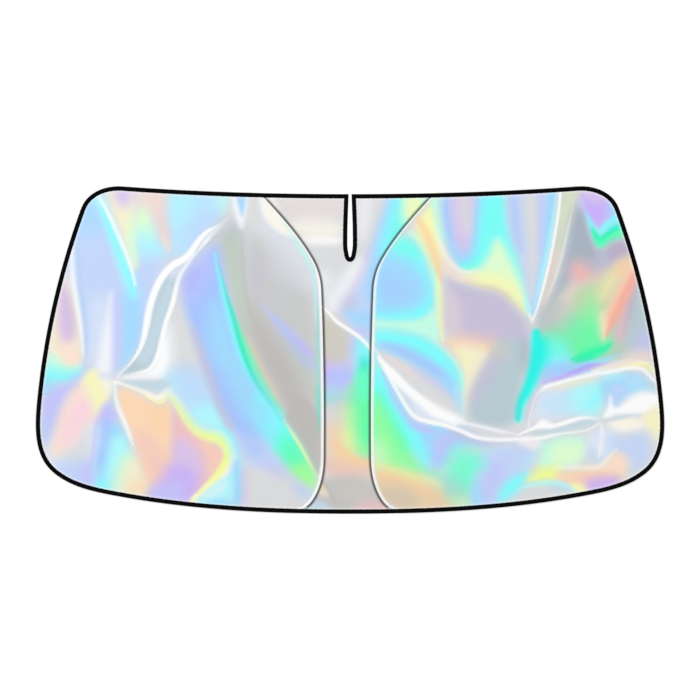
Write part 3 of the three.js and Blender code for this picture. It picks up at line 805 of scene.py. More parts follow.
# the blue wedge
patch("blue", 1.4, (-31, 24.6), (-34.6, 21.6), (-38.6, 17), (-38.4, 10), (-36.2, 4), (-34, -2), (-32, -9),
      (-29, -16), (-25, -21), (-20, -21), (-16, -19), (-20, -10), (-25, -1), (-28, 11), (-29.6, 22))
patch("lavender", 1.8, (-33, 23), (-36.4, 20), (-39, 15), (-37.6, 10), (-34, 14), (-31.5, 19), strength=0.6)
patch("deep_periwinkle", 1.4, (-38.8, 16.4), (-35.6, 19.6), (-33.6, 17.4), (-36.8, 12.4), strength=0.3)
patch("sky", 2.2, (-32.5, 12), (-29.5, 10), (-25.6, 0), (-20.5, -10), (-15, -17), (-19.5, -21.4), (-24, -17),
      (-28, -8), (-33.6, 1))
patch("grey_lilac", 1.1, (-36.8, 5.5), (-35.6, 4.6), (-32.6, -3), (-29.6, -12.6), (-26.6, -18.6),
      (-28.8, -17.6), (-32, -10), (-35.2, -1), strength=0.75)
stroke("cyan", 1.9, (-31.4, 22.4), (-30.2, 16.5), (-28.4, 9.6), (-26.8, 3.6), (-24.6, -3), (-22, -8.4),
       (-19, -13.4), (-16, -17.4), soft=1.3, tips=(0.3, 1), strength=0.9)
stroke("green", 1.5, (-28, 11.4), (-26.2, 6.4), (-24.9, 2.4), (-23.2, -1.2), (-21.2, -5.8), (-18.8, -10),
       (-15.4, -14.6), soft=1.3, strength=0.9, tips=(0.1, 0.5))
stroke("teal", 1, (-30.4, 19.6), (-29.4, 16.4), (-28.3, 12), (-27, 8), (-25.9, 3.5), (-24.8, 0), (-23.4, -4),
       (-21.4, -8.1), (-18.5, -12.1), (-16.2, -15.6), (-13.9, -19), soft=1.1, tips=(0.15, 0.4))
stroke("emerald", 0.8, (-26.6, 6), (-24.8, 0), (-23.4, -4), (-21.4, -8.1), (-18.5, -12.1), soft=1.2,
       strength=0.6)
patch("sky", 2, (-27, -5), (-22, -6), (-17.6, -14), (-15, -20), (-18.6, -21), (-23.6, -14), strength=0.7)
# green tail of the wedge
patch("cyan", 1.8, (-22, -9.4), (-18.5, -13), (-14, -17.6), (-12, -21.6), (-15, -24.6), (-19, -23),
      (-21, -17))
patch("aqua", 1.5, (-15.5, -17.8), (-13, -19.8), (-10.4, -23.4), (-9, -29), (-12.6, -28), (-16, -25.4),
      (-18.4, -22.8), (-17.4, -20.4))
patch("sky", 1.6, (-22, -14), (-18, -16.4), (-16, -20), (-19, -21.6), strength=0.45)
patch("sky", 1.1, (-22.4, -11.6), (-19, -12.4), (-17.8, -16), (-20.6, -16.6), strength=0.5)
patch("green", 1.8, (-14, -20.6), (-11, -22), (-8.6, -27), (-9, -31), (-13.4, -28.6), (-17, -24.8),
      strength=0.6)
patch("leaf", 1.4, (-12, -25.6), (-9, -26.6), (-7.7, -29.6), (-8.8, -32.8), (-11.6, -30.6), (-14.4, -28.2),
      strength=0.9)
patch("warm_grey", 0.6, (-15.4, -15.6), (-13.4, -18.2), (-11, -21.9), (-8.9, -25.8), (-7.3, -29.4), (-6, -24),
      (-7, -14), (-12, -10), strength=0.8)
stroke("lemon", 0.6, (-15.4, -16.2), (-13.6, -18.7), (-11.5, -22), (-9.5, -25.8), (-7.9, -28.9), strength=0.9)
stroke("teal", 1.5, (-7.1, -8), (-7, -14), (-7, -19), soft=1.4, strength=0.3)
# violet, cyan and grey at the foot
patch("periwinkle", 1.8, (-26.6, -19), (-20, -20.6), (-17, -24), (-15, -28), (-20, -28), (-25, -26))
patch("blue", 1.6, (-26, -17), (-22, -18), (-18.6, -23), (-22, -25), (-25.6, -22), strength=0.5)
patch("silver", 1.6, (-24.6, -28.4), (-18, -27.4), (-10, -31.5), (-7, -37), (-24.6, -37))
patch("lavender", 1.4, (-22, -25.4), (-16, -26), (-12, -29.4), (-14, -30.4), (-19.6, -28), strength=0.4)
patch("powder", 1.2, (-13.6, -30), (-9.6, -31.4), (-8.2, -34.6), (-12.6, -34), strength=0.7)
patch("lilac", 0.9, (-25.2, -27), (-23.6, -27), (-23.4, -36), (-25.4, -36), strength=0.6)
patch("sky", 0.9, (-27.6, -26.6), (-25.2, -25), (-25, -36.6), (-27.4, -36.6))
patch("pale_cyan", 1, (-35.4, -34), (-29.4, -29.4), (-27.8, -30), (-28, -36), (-35, -36.6), strength=0.7)
# blue wedge hanging from the top edge
patch("pearl", 0.7, (-27.8, 37), (-23.2, 37), (-24.2, 31), (-24.6, 28), (-25.4, 28), (-26.6, 31))
patch("sky", 0.5, (-26.4, 37), (-23.8, 37), (-24.4, 33), (-25, 30.4), (-25.7, 33.4))
patch("powder", 0.5, (-26.4, 37), (-25, 37), (-25, 32.6), (-25.8, 33.6), strength=0.8)
patch("pale_cyan", 1, (-26.4, -27.4), (-28.8, -29.6), (-34.6, -34), (-35, -36.6), (-27.4, -36.6),
      strength=0.9)
patch("pearl", 0.9, (-28.4, -29.6), (-29, -32.6), (-32.6, -34.4), (-34.6, -34), strength=0.6)
patch("sky", 0.8, (-32.5, -34.6), (-27.6, -34.4), (-27.4, -37), (-34.4, -37), strength=0.8)
stroke("lemon", 1.1, (-28, -25.4), (-29.6, -28.6), (-32.8, -31.2), (-36, -34.4), soft=1.3, strength=0.8)
report("blue wedge")

# %% [markdown]
# A sky-blue oval lies in a cyan field beside the seam. Right of it pale columns hang from the top
# edge, and a mint dome rises between them.

# %% Print: upper right
# oval of sky blue in a cyan field
patch("cyan", 1.6, (9.6, 26), (15.4, 25.6), (18.6, 19), (20.4, 12), (18, 6), (5, 6), (5, 15))
patch("aqua", 2, (10, 25.6), (15, 25.2), (16, 21), (10, 21), strength=0.5)
patch("sky", 2, (5.4, 22), (10, 22.4), (15, 20), (18, 15.6), (17.8, 11.6), (14.8, 9), (5, 8.6))
patch("sky", 1, (5.4, 11), (14, 11), (15, 9), (12, 8), (5.4, 7.8), strength=0.8)
patch("blue", 2.4, (6, 17), (11, 17), (14, 14.6), (14, 11.5), (7, 11), strength=0.4)
patch("mint", 1, (5.6, 7), (12, 6.9), (17, 7.2), (19.5, 10), (21, 4), (20.6, 1.4), (16, 3.2), (11, 4.6),
      (5.6, 5))
patch("cyan", 1.1, (5.4, 7.4), (10, 7), (15.6, 7), (18.6, 9.6), (14, 9.4), (5.6, 8.8), strength=0.6)
patch("cyan", 1.2, (5.4, 5), (10, 4.6), (17, 3.4), (22, -0.6), (24, -4), (20, -4), (13, 0), (5.4, 1))
# rim and orange streak right of the oval
stroke("mint", 1.7, (14, 27), (16.6, 25), (18.8, 20), (20.2, 14), (20.4, 9), (19.6, 5), soft=1.3,
       tips=(0.8, 0.6))
stroke("lemon", 1.8, (20.2, 18), (20.9, 12), (21, 6), (21.4, 2), soft=1.3, strength=0.9)
patch("lemon", 1.4, (15, 29), (19, 35), (20.6, 30), (21.4, 24), (20.4, 18), (18.6, 22), (16, 25.6))
stroke("orange", 2.4, (15.8, 30), (17.4, 27.4), (18.8, 24), (20, 20.4), (21, 16), soft=1.3, strength=0.85,
       tips=(0.6, 0.4))
# top: mint, cyan, lilac column
patch("mint", 1, (17.4, 38), (20.6, 38), (20.8, 30), (22.6, 25), (20.4, 25), (19.4, 31))
patch("sky", 1.2, (20.4, 38), (34, 38), (32, 24), (29, 18), (25, 18), (21.8, 25))
patch("lilac", 1.6, (22.4, 38), (29.4, 38), (28.6, 27), (27.4, 22.6), (25, 22.6), (23, 28))
patch("silver", 1.6, (24, 38), (28.6, 38), (28.4, 26), (25.4, 27), strength=0.7)
stroke("blue", 1, (22, 36), (22.4, 29), (23.6, 24.6), soft=1.2, strength=0.6)
stroke("blue", 0.9, (29.4, 36), (29.2, 28), (28.6, 23), soft=1.2, strength=0.6)
# cyan column and the mint dome
patch("cyan", 1.5, (30.4, 38), (35.8, 38), (36.4, 28), (39.4, 20), (41, 12), (41.6, 7), (34, 18), (26, 18),
      (25.6, 19), (29, 21))
patch("aqua", 1.5, (32, 34), (34.6, 34), (34.8, 27), (31.8, 27), (30, 22), (31, 28), strength=0.4)
patch("aqua", 1, (25, 20), (28.6, 20.2), (30.4, 22), (29.6, 19), (26, 18.2), strength=0.6)
patch("lime", 1.3, (33.6, 26), (32, 22), (29.6, 18.4), (25, 18), (26, 15.6), (36, 13), (41.4, 7), (40.4, 14),
      (37.6, 20), (35.4, 24.6))
patch("lemon", 1.4, (26, 17), (34, 18), (38.6, 15), (41.2, 7.6), (38, 10), (35, 13.6), (29, 14.6),
      strength=0.85)
# greys, blues and the long white line
patch("grey_lilac", 1.6, (22, 17.6), (25.4, 15.6), (30, 14.4), (34.6, 13.8), (38, 10.4), (41.6, 6), (42, -2),
      (34, -2), (28, 2), (22, 3))
patch("blush", 1.6, (22, 14), (25, 12), (26, 4), (23, 3), strength=0.5)
stroke("tan", 0.7, (24, 16.6), (29.6, 14.8), (34.8, 13.9), (37.8, 10.8), (40.2, 8), soft=1.3, strength=0.7)
stroke("ivory", 1.3, (19.8, 28), (20.6, 25), (22, 21.6), (24.6, 18.6), (27, 17.8), (29, 18.4), soft=1.2,
       strength=0.9)
patch("peach", 1, (21, 22), (24, 18.4), (27.6, 17), (30, 17), (28, 15.6), (24.4, 16), (21, 18.4),
      strength=0.75)
patch("periwinkle", 1.4, (36, 38), (47, 38), (46, 24), (44, 14), (42.4, 6.6), (41, 13), (39.8, 21),
      (37.2, 28))
patch("blue", 1.2, (36.8, 36), (38.4, 36), (39.4, 27), (40.4, 22), (38.6, 23), (37, 28), strength=0.5)
patch("silver", 1.4, (39.6, 38), (43.6, 38), (43.6, 26), (42.8, 12), (41.8, 13), (40.6, 24))
patch("lavender", 1, (43.4, 36), (45, 36), (44.6, 26), (43.6, 20), strength=0.6)
patch("sky", 0.9, (45.4, 38), (48, 38), (47, 29), (45.4, 20), (43.2, 10), (42.2, 7), (43, 14), (44.6, 22),
      strength=0.95)
stroke("pale_cyan", 0.9, (40.6, 13), (41, 10), (41.6, 7.4), soft=1.2)
# sage and cream wedge, blue grey beyond
patch("stone", 0.9, (48, 38), (56, 38), (52, 32), (49.6, 22), (46, 12), (43.4, 6.4), (44.6, 13), (46.8, 24))
patch("lime", 1, (48.6, 38), (55, 38), (52, 31), (49.6, 22), (47.6, 16), (47.6, 24), strength=0.4)
patch("slate", 1.5, (51.6, 33.6), (54.4, 33), (56, 27), (57.6, 23), (62, 24), (60, 18), (50, 14.5),
      (46.4, 8.6), (43.4, 6), (45.4, 9), (48, 16), (49.8, 24))
patch("grey_lilac", 1.6, (56.4, 22.6), (62, 23.6), (60, 17.6), (56, 16.6), strength=0.7)
patch("blush", 1, (47.6, 24), (48.8, 22), (47, 15.4), (44.6, 10.4), (45.4, 15), strength=0.6)
stroke("pearl", 0.7, (51.6, 34), (50.4, 28.4), (49, 22), (47.2, 16), (44.8, 10.6), soft=1.3, strength=0.7)
stroke("pale_cyan", 1.1, (47.7, 38), (47.3, 32), (46.3, 26), (45, 20), (43.6, 14.4), (42.4, 9.8), soft=1.3)
stroke("white", 0.6, (48.6, 38), (48.2, 32), (47.2, 26), (46, 20), (44.6, 14.4), (43.2, 9.6), (42, 6.4),
       soft=0.9, tips=(1, 0.6))
stroke("ivory", 0.6, (41, 8.6), (42, 6.8), (42.4, 8), soft=1.2)
# violet wedge with the cyan and teal rims
patch("cyan", 0.9, (54.4, 33), (55.6, 29.4), (57.5, 25.6), (60, 28), (64, 34), (64, 26), (60, 25),
      (57.6, 23.6), (55.6, 26.4), strength=0.9)
patch("lavender", 1, (52.6, 34), (55.4, 30), (57.5, 27), (59.6, 29.4), (63.4, 34), (60, 38), (53, 36))
patch("lilac", 1.3, (53, 38), (61, 38), (59.4, 33), (53.6, 33.4))
patch("violet", 1.3, (54, 33.6), (59.6, 34), (58.6, 30.2), (57.4, 28.6), (56, 30), strength=0.95)
patch("sky", 1.2, (60, 35), (64, 34), (63.6, 29.6), (60, 29.4), strength=0.9)
stroke("cyan", 1.5, (54.6, 31.4), (56, 28.2), (57.5, 26.8), (59, 28.4), (61.6, 30.6), soft=1.2, strength=0.8)
stroke("sea", 1.8, (55.6, 28), (56.6, 25.8), (57.6, 24.8), (59.2, 26), (61, 27.8), (63.6, 28), soft=1.3,
       tips=(0.2, 1), strength=0.9)
patch("green", 0.7, (55.9, 28.2), (57.4, 25.4), (60, 27.4), (64, 29), (64.4, 26.4), (60.4, 25.2),
      (57.5, 23.2), (56, 25.4), strength=0.8)
stroke("emerald", 1, (55.9, 28.4), (57.4, 25.4), (59, 26.4), (61.6, 28), soft=1.3, strength=0.7)
stroke("cyan", 1.5, (57.4, 27.4), (59.4, 29.2), (62, 31), (64.6, 32), soft=1.3, strength=0.8)
stroke("violet", 1.6, (53.6, 36), (55.4, 33.4), (57.4, 29.6), soft=1.3, strength=0.7)
stroke("grey_lilac", 0.8, (54, 31), (55.2, 27.4), (56.6, 23.4), (58.2, 20.4), soft=1.2, strength=0.6)
report("upper right")

# %% [markdown]
# The green zone lies near the right edge, beside a salmon streak.

# %% Print: green folds
# green zone in the right field
patch("sage", 2, (43, 5), (49, 13), (56, 16), (62, 18), (66, 18), (70, 4), (70, -3), (56, -2), (43, -4))
patch("rose", 2, (50.4, 19), (53, 21), (56.6, 18), (57, 15.4), (51.6, 14), strength=0.85)
patch("salmon", 1.6, (51.2, 18.6), (53, 20), (55, 17.4), (53, 15.6), strength=0.4)
patch("blush", 2, (45, 6), (48, 10), (51, 16), (53, 14), (50, 7), strength=0.5)
patch("green", 2.4, (44, 4), (50, 6), (54, 14), (57.4, 14), (58.6, 4), (61, -1), (51, -2.6), (45, -1),
      strength=0.6)
patch("leaf", 2, (53, 13), (57, 15), (60, 17), (59.6, 9), (57.6, 3), (54, 3), strength=0.45)
patch("tan", 2.2, (50, 13), (55, 16), (60, 19), (58, 12.6), (53.6, 9), (50, 9), strength=0.4)
patch("green", 1.8, (51, 4), (54, 6.6), (57.6, 7), (58.6, 2), (57, -1), (51, -1.4), strength=0.7)
patch("slate", 1.8, (43.4, 5.6), (46, 9), (49.4, 11), (48, 7), (45, 4.6), strength=0.45)
patch("tan", 1.8, (57, 14), (59.4, 19), (64.4, 19), (63, 14.6), (60.4, 10), (58.6, 8), strength=0.75)
patch("lemon", 1.6, (57.4, 11), (60.6, 14), (62.6, 18), (60, 18), (57.8, 14), strength=0.5)
patch("cream", 1.2, (57.2, 9), (59.6, 8.6), (59.4, 2.6), (57.6, 2.4), strength=0.75)
patch("sky", 1.8, (44, 1), (50, 0), (51.4, -3.6), (60, -3.2), (62, -5), (44, -7.4))
patch("cyan", 1.6, (43, 1), (47, 1.4), (51, -1.6), (50, -3.4), (43, -4), strength=0.6)
patch("aqua", 1.6, (43.6, 3.6), (50, 3), (51, -1.4), (46, -1.6), (43.8, -1), strength=0.7)
patch("mauve", 1.2, (59.6, 25.4), (66, 25.6), (66.4, 21.6), (59.6, 20.4), strength=0.9)
stroke("teal", 1.3, (58.8, 26.6), (60.8, 28.2), (63.6, 29.4), soft=1.3, strength=0.55)
patch("orange", 1.2, (60.6, 20.2), (65.8, 22.6), (67, 18.6), (61.8, 16.4), strength=0.7)
patch("green", 1.5, (50.8, -2.2), (53, 1), (57, 2.6), (60.4, 2.6), (59.6, 0.6), (57, -1.6), (54, -2.4),
      strength=0.6)
stroke("emerald", 2, (51, -2.1), (53.8, -1.5), (56.4, -0.4), (58.8, 0.2), (60.2, 1.6), soft=1.2, strength=0.9)
stroke("emerald", 1.2, (51.4, -2.8), (54, -2.2), (57, -1.5), soft=1.2)
stroke("cyan", 0.7, (50.6, -3.8), (53.4, -3.9), (56, -2.6), (59.6, -2.2), (61.6, -1.4), soft=1.3,
       strength=0.7)
# salmon streak and the mauve edge
patch("mauve", 1.2, (61.6, 3), (62.4, 8), (64.4, 14), (66.6, 18), (67.4, 15), (66, 9), (64, 3), strength=0.9)
patch("steel", 1.4, (65.4, 13), (66.6, 15), (70, 6), (68, 0), (63, -0.6), (63.4, 5), (65.4, 9), strength=0.9)
patch("lavender", 1.4, (66, 4), (69.4, 5.6), (71, -1.6), (65.6, -1.4), strength=0.6)
patch("blush", 1.3, (64, 0), (70.6, 0), (71, -3), (63, -2.4), strength=0.8)
patch("rose", 1.6, (61.4, 3), (62.4, 8), (64.6, 13), (65.8, 17), (64, 12.6), (63, 6), (62.6, 2.6))
stroke("apricot", 2.6, (58.4, 2.6), (59.2, 6), (60.6, 9.6), (63, 14.4), (65.4, 19), soft=1.2, tips=(0.3, 1))
stroke("salmon", 2.7, (59.4, 3.6), (60.6, 7), (62.2, 10.4), (63.8, 13.6), (65.6, 17.4), soft=1.3,
       tips=(0.3, 0.8))
# teal column left of the green
patch("cyan", 1, (42, 5), (44, 2), (44.4, -3), (43, -9), (40.4, -12.6), (39.8, -16.4), (38, -16.6), (38, -12),
      (40.4, -9), (41.4, -3), strength=0.9)
patch("sea", 1.4, (42.8, 3.4), (45.6, 2.6), (46, -1.6), (43.8, -6), (42, -8), (42.2, -2), strength=0.7)
stroke("sea", 2.4, (43, 4), (43.2, 1.4), (42.9, -2), (42, -5.6), (40.7, -9.4), (39, -12), (38.6, -15.6),
       soft=1.1, tips=(0.7, 0.6))
stroke("sea", 1.2, (39.4, -11), (38.6, -13.4), (38.9, -16.4), soft=1.2, tips=(0.6, 0.4))
patch("blue", 1.4, (45, -3.6), (51, -3.2), (56, -2.4), (52, -5.2), (45.4, -8), (43.2, -8), strength=0.6)
stroke("violet", 1.3, (44.4, -7.6), (48, -6.6), (52, -5.2), (55.6, -3.7), (60, -3), soft=1.2)
stroke("sky", 0.9, (52, -3.7), (56, -2.7), (60, -2), (62.6, -0.6), soft=1.2, strength=0.7)
stroke("deep_periwinkle", 1, (50, -5.5), (52.6, -4.7), (54.6, -3.6), (57, -3.2), soft=1.3, strength=0.9)
report("green folds")

# %% [markdown]
# A bright double fold runs across the lower right, out to a second star. Below it lies a foot of
# lavender, green and orange.

# %% Print: lower right
# cream and the big grey between the cyan rim and the teal column
patch("apricot", 1.6, (22, 3), (28, 3), (36, 1), (33, -2), (28, -1.6), (23, 0), strength=0.9)
patch("rose", 1.6, (25, 4.6), (34, 4.4), (34, 2.6), (25, 2.6), strength=0.35)
patch("cream", 1.4, (24, 1), (33, 0), (30, -5), (27.4, -12), (25.6, -16), (25, -8), (26, -2))
patch("lemon", 1.2, (23.6, 0.6), (28.4, -0.6), (27, -5), (25.8, -3.4), strength=0.5)
patch("steel", 1.3, (34, 2), (40.4, 3), (40.8, -4), (38.6, -11), (38, -18), (30, -17.6), (26.6, -15),
      (29, -8), (32, -3))
patch("grey_lilac", 1.8, (33, -0.6), (35.6, -1.4), (32, -8), (28.6, -13), (27.4, -11), (29.6, -5.6),
      strength=0.8)
patch("slate", 1, (39, 3), (41.8, 2), (41.2, -5), (39.2, -5), strength=0.45)
patch("stone", 1.4, (32, 1.6), (37, 1.4), (36, -2.6), (33, -2), strength=0.6)
# sky band and cyan rim above the big fold
patch("sky", 1.4, (5.4, 1.6), (13, 0.6), (20, -3), (25.4, -5.4), (25.6, -15), (24, -13), (20, -7), (14, -3),
      (8, -1))
patch("cyan", 1.1, (13, 2.4), (19, 1), (24, -2.4), (26, -6), (25.8, -10), (24.6, -7), (20, -3.4), (15, -0.6),
      strength=0.8)
patch("blue", 1.1, (6.4, 2), (12, 1.2), (18, -1.4), (23, -6.4), (20, -6), (14, -2.2), (9, 0.2), strength=0.7)
stroke("mint", 0.8, (18.4, 2.6), (22, 0), (25, -3.4), (26.2, -8), (26, -14), soft=1.3, strength=0.8)
patch("pale_sky", 1, (24, -8), (25.6, -9), (25.8, -15.6), (24.6, -15), strength=0.8)
patch("silver", 1.2, (6.8, -0.4), (10, -1.6), (14.6, -4.6), (20, -7.6), (24, -11.6), (25.4, -15.6), (20, -13),
      (14, -8.4), (9, -3.6))
stroke("blush", 1.4, (7, -1), (10, -2.4), (13.4, -5), (17, -7.4), soft=1.3, strength=0.7)
patch("lavender", 1, (13.4, -3.8), (19, -5.6), (24, -11), (21, -9.4), (16.4, -6.4), strength=0.5)
# below the fold
patch("cyan", 1.4, (5, -4), (8, -5.4), (12.6, -13), (15, -17.6), (21, -18), (18, -26), (5, -16))
patch("aqua", 1.6, (5, -8), (9.4, -8.6), (13.6, -17), (15.4, -22.6), (12, -26), (5, -20), strength=0.8)
patch("green", 1.8, (5, -9.6), (7.4, -12), (11.6, -18), (16, -27), (22, -29.4), (5, -26), strength=0.7)
patch("leaf", 2, (5, -11), (7.6, -13), (9.6, -18), (12.6, -24), (18, -28.4), (5, -27.6), strength=0.75)
patch("lime", 1.5, (5, -20), (8, -21.6), (9, -26), (5, -26.4), strength=0.5)
patch("cyan", 1.4, (6.6, -4), (8.6, -6), (12.6, -13), (15, -17.6), (13, -19.6), (10.4, -15), (8, -10),
      strength=0.8)
patch("sky", 1.4, (13.4, -16), (28, -18.4), (31, -21.4), (24, -22), (21.4, -27.4), (18, -27), (15.6, -21))
patch("lavender", 1.4, (20, -18.6), (28.6, -19.8), (33, -22.6), (25, -21.2), (22.6, -25), (20, -27),
      (19, -24), strength=0.85)
patch("lilac", 0.8, (13, -14), (15.4, -16.6), (20, -18), (16, -18.6), strength=0.5)
patch("grey_lilac", 1, (22.4, -17.6), (26, -18.2), (30, -20.4), (36, -21.4), (30, -22), (24, -20),
      strength=0.7)
patch("cyan", 1.2, (13, -17), (15.6, -18.4), (17, -21.6), (18.8, -26.6), (16.4, -27.2), (14, -22.6),
      strength=0.75)
patch("aqua", 2.4, (22.6, -26), (24, -22), (28, -22.8), (33.6, -24.4), (31, -27), (28.4, -37), (21, -37),
      (21, -30), strength=0.75)
patch("green", 2.2, (24, -25), (29, -26), (28, -31), (23, -31), strength=0.3)
patch("sage", 2, (20, -30), (24, -29.6), (28, -33), (28, -38), (18, -38), strength=0.55)
patch("lemon", 1.4, (20, -34.4), (29, -33.6), (30, -37.6), (20, -38), strength=0.4)
patch("periwinkle", 1.6, (31, -22), (41, -21.6), (43, -24.4), (40, -29), (36, -33), (34, -37), (28.4, -37),
      (29, -30))
patch("lavender", 1.6, (31.6, -27), (35, -25), (36, -29), (32, -35), (29.4, -34), strength=0.6)
patch("sky", 1.2, (28.4, -30), (30, -29.6), (31, -37), (27.6, -37), strength=0.8)
patch("cyan", 1.3, (35, -31.4), (38, -29), (41.6, -28), (40.4, -30.6), (38, -33.4), (34, -35.6))
patch("pale_sky", 1.3, (41, -28), (42.6, -25), (45, -20.6), (43, -22), (39.6, -27), strength=0.7)
# orange and tan at the foot
patch("tan", 1.6, (5, -27), (12, -28.4), (18, -30.4), (23, -35), (24, -38), (6, -38))
patch("warm_grey", 2.2, (6.4, -31.6), (13.6, -32), (16, -36.4), (8, -36.6), strength=0.45)
patch("orange", 1.4, (15, -31), (20.6, -32), (21.6, -34), (16, -33.4), strength=0.5)
patch("orange", 1.8, (6.4, -27.4), (11, -28.6), (17, -30.6), (12, -30.8), (7, -29.6), strength=0.75)
patch("yellow", 1.2, (5, -25.4), (9, -26.4), (14, -28), (19, -29.6), (22, -32), (15, -30), (9, -28.2),
      (5, -27), strength=0.5)
stroke("lavender", 2.2, (7.6, -5.4), (10, -10.4), (12.4, -14.4), (15, -17.8), (20, -19), soft=1.3,
       strength=0.85)
stroke("cyan", 1.6, (5.4, 1), (6.2, -3), (7, -8), soft=1.3, strength=0.6)
# the fold itself: two bright lines with a pale wedge between them
patch("ice", 0.8, (9.6, -7), (12.6, -9), (17, -12.6), (21, -15.6), (25, -17), (20, -16.8), (15, -15.8),
      (12.6, -11.6))
patch("steel", 0.8, (9.6, -7), (12, -9), (14.4, -12), (14.6, -15), (12.4, -11.4), strength=0.4)
stroke("white", 1.5, (5.9, 0), (7.4, -2.6), (9.4, -5), (12.4, -8.4), (16.4, -11.8), (20.4, -14.9),
       (24.4, -16.8), soft=0.6, tips=(0.12, 0.5))
patch("white", 0.8, (14, -9.6), (18, -11.6), (22, -13.8), (25.6, -15.4), (27, -17.4), (20, -16), (16, -13))
patch("ice", 0.5, (11.4, -8.2), (13.4, -10.4), (17, -13.6), (18.6, -14.8), (15.4, -13.4), (12, -10),
      strength=0.7)
stroke("white", 0.75, (6.6, -1.8), (8.4, -5.2), (10.6, -9), (12.8, -12.8), (14.8, -15.6), (18, -16.6),
       (22, -17.3), (26, -18.8), (29, -20.2), (33, -20.7), (40, -20.5), (44, -20.4), (48.6, -19.2),
       (53, -18.9), (55.6, -18.2), (57.6, -16.8), soft=0.7, tips=(0.6, 0.3))
patch("silver", 0.7, (26.4, -17.6), (30, -18.6), (34, -19.4), (38.4, -19.8), (40.4, -20), (34, -20.3),
      (30, -19.9), strength=0.9)
stroke("pearl", 0.75, (24.4, -16.6), (27.4, -17), (31, -17.9), (35, -18.8), (38.6, -19.5), tips=(0.8, 0.3))
patch("pearl", 0.7, (38, -20.8), (45, -20.6), (43, -23.2), (40.6, -22.2))
patch("blush", 0.7, (40, -21.4), (44, -21.2), (42.4, -23), strength=0.5)
# star with its cyan and sky fields
patch("ice", 1.4, (41.6, -16.6), (43.4, -10), (46, -8.4), (51, -9), (51, -16), (45, -16))
patch("pale_sky", 1.6, (44, -14.6), (44.6, -10), (51, -9.6), (53, -13), (52, -15.6), strength=0.6)
patch("pale_cyan", 1.6, (50.6, -8.6), (57.6, -6.4), (58.4, -10), (58, -15.4), (52, -15), (50.6, -12))
patch("cyan", 1.2, (57, -8), (58.8, -6.8), (58.8, -10.6), (57, -13.4), (53.4, -13.4), strength=0.45)
patch("cream", 0.8, (45, -8.4), (50, -7.2), (55, -5.4), (58, -4.8), (57.6, -6.6), (51, -8.6), (46, -9.2),
      strength=0.7)
patch("sky", 1.2, (58, -7.4), (61, -5.8), (66, -5.2), (69.6, -8), (70.6, -10), (65, -10), (61, -13.6),
      (58.6, -11))
patch("pale_sky", 1.2, (62.6, -6.6), (67, -5.6), (70, -8.6), (65, -9.4), strength=0.7)
patch("periwinkle", 1, (60.4, -7), (65, -9), (61.4, -13.6), (60.2, -14.4), (59, -12), strength=0.8)
patch("pale_cyan", 0.8, (57.6, -5.6), (62, -4.6), (64, -6), (59.4, -7.6), strength=0.6)
patch("white", 1.1, (62.6, -12.6), (66, -9.6), (72, -9.2), (72.4, -14.4), (62, -15.2))
patch("cream", 1.3, (66, -15.6), (72.6, -11.6), (73, -22), (68, -20.6))
patch("lemon", 1.4, (68, -15.4), (72.6, -13), (72.6, -19), (68.6, -18.8), strength=0.45)
patch("ivory", 1, (59, -16.2), (66, -15), (69, -18.4), (61, -19.4))
stroke("ivory", 1.8, (56, -4.8), (61, -3.8), (65, -2.8), (69, -3), soft=1.2)
stroke("lemon", 1.8, (62, -4.2), (66.4, -3.2), (69.6, -4), (71, -6.4), soft=1.3, strength=0.8)
stroke("blush", 1.3, (56, -4.2), (60, -3.9), (64, -2.8), (69, -1.6), soft=1.3, strength=0.7)
patch("mist", 0.9, (68, -6.6), (71.6, -8), (71.6, -10.6), (68, -8.6), strength=0.6)
stroke("white", 0.85, (41, -18.4), (41.7, -14), (42.6, -10.6), (44.6, -8.6), (48, -7.6), (52, -6.5),
       (56, -5.5), (60, -5.1), (64.6, -4), (67.8, -4.3), (69.6, -6.6), (71.6, -8.2), soft=1.1,
       tips=(0.3, 0.7))
patch("grey_lilac", 0.8, (42.4, -9.6), (44.4, -8.2), (42.4, -12), (40.6, -17), (40.6, -14), strength=0.6)
# lower right
patch("mint", 1.4, (45.4, -20.6), (54.6, -19.6), (54.6, -24), (50, -27.4), (43, -27.4), (44, -23.4))
patch("lime", 1.3, (46.4, -21.6), (53.8, -21), (53.4, -26.4), (46, -26.8))
patch("ice", 1.2, (54.6, -19.4), (58.6, -17.6), (62, -19.4), (62, -22.6), (59, -26), (54.6, -26))
patch("mist", 0.9, (54.4, -25.6), (55.6, -22), (57, -24), (59, -25.8), strength=0.7)
stroke("pearl", 1.1, (58, -17.2), (58.3, -20), (57.8, -22.6), (57.4, -25), soft=1.2, tips=(0.5, 0.2))
patch("periwinkle", 1.4, (59.6, -19.4), (68, -20.6), (66, -25.6), (61.4, -23.6), (59.4, -22.6), strength=0.8)
patch("yellow", 1.5, (42, -28.6), (44.4, -26.8), (49, -27), (48, -30.2), (41, -30.6))
patch("apricot", 1.2, (47, -28.4), (53, -27.6), (59, -27), (61.6, -23.6), (64, -26), (62, -32), (52, -32),
      (49, -30.4))
patch("peach", 1.2, (58.6, -26.8), (61.4, -23.6), (66, -25.6), (61.6, -28.6), strength=0.8)
patch("rose", 1.1, (51.4, -28.8), (58, -28), (58.6, -30), (53, -31.4), strength=0.6)
patch("violet", 1.3, (54.4, -30), (58, -29.2), (62.4, -28.8), (62, -33), (55, -34), strength=0.85)
patch("lemon", 0.7, (50.6, -30.6), (53.4, -31), (55.4, -33), (52, -34), strength=0.9)
patch("mist", 0.8, (45, -31.4), (49.6, -31.2), (52, -33), (48, -32.8), strength=0.8)
patch("periwinkle", 1.6, (64.4, -19.6), (70, -18), (69, -27), (64.6, -28), strength=0.85)
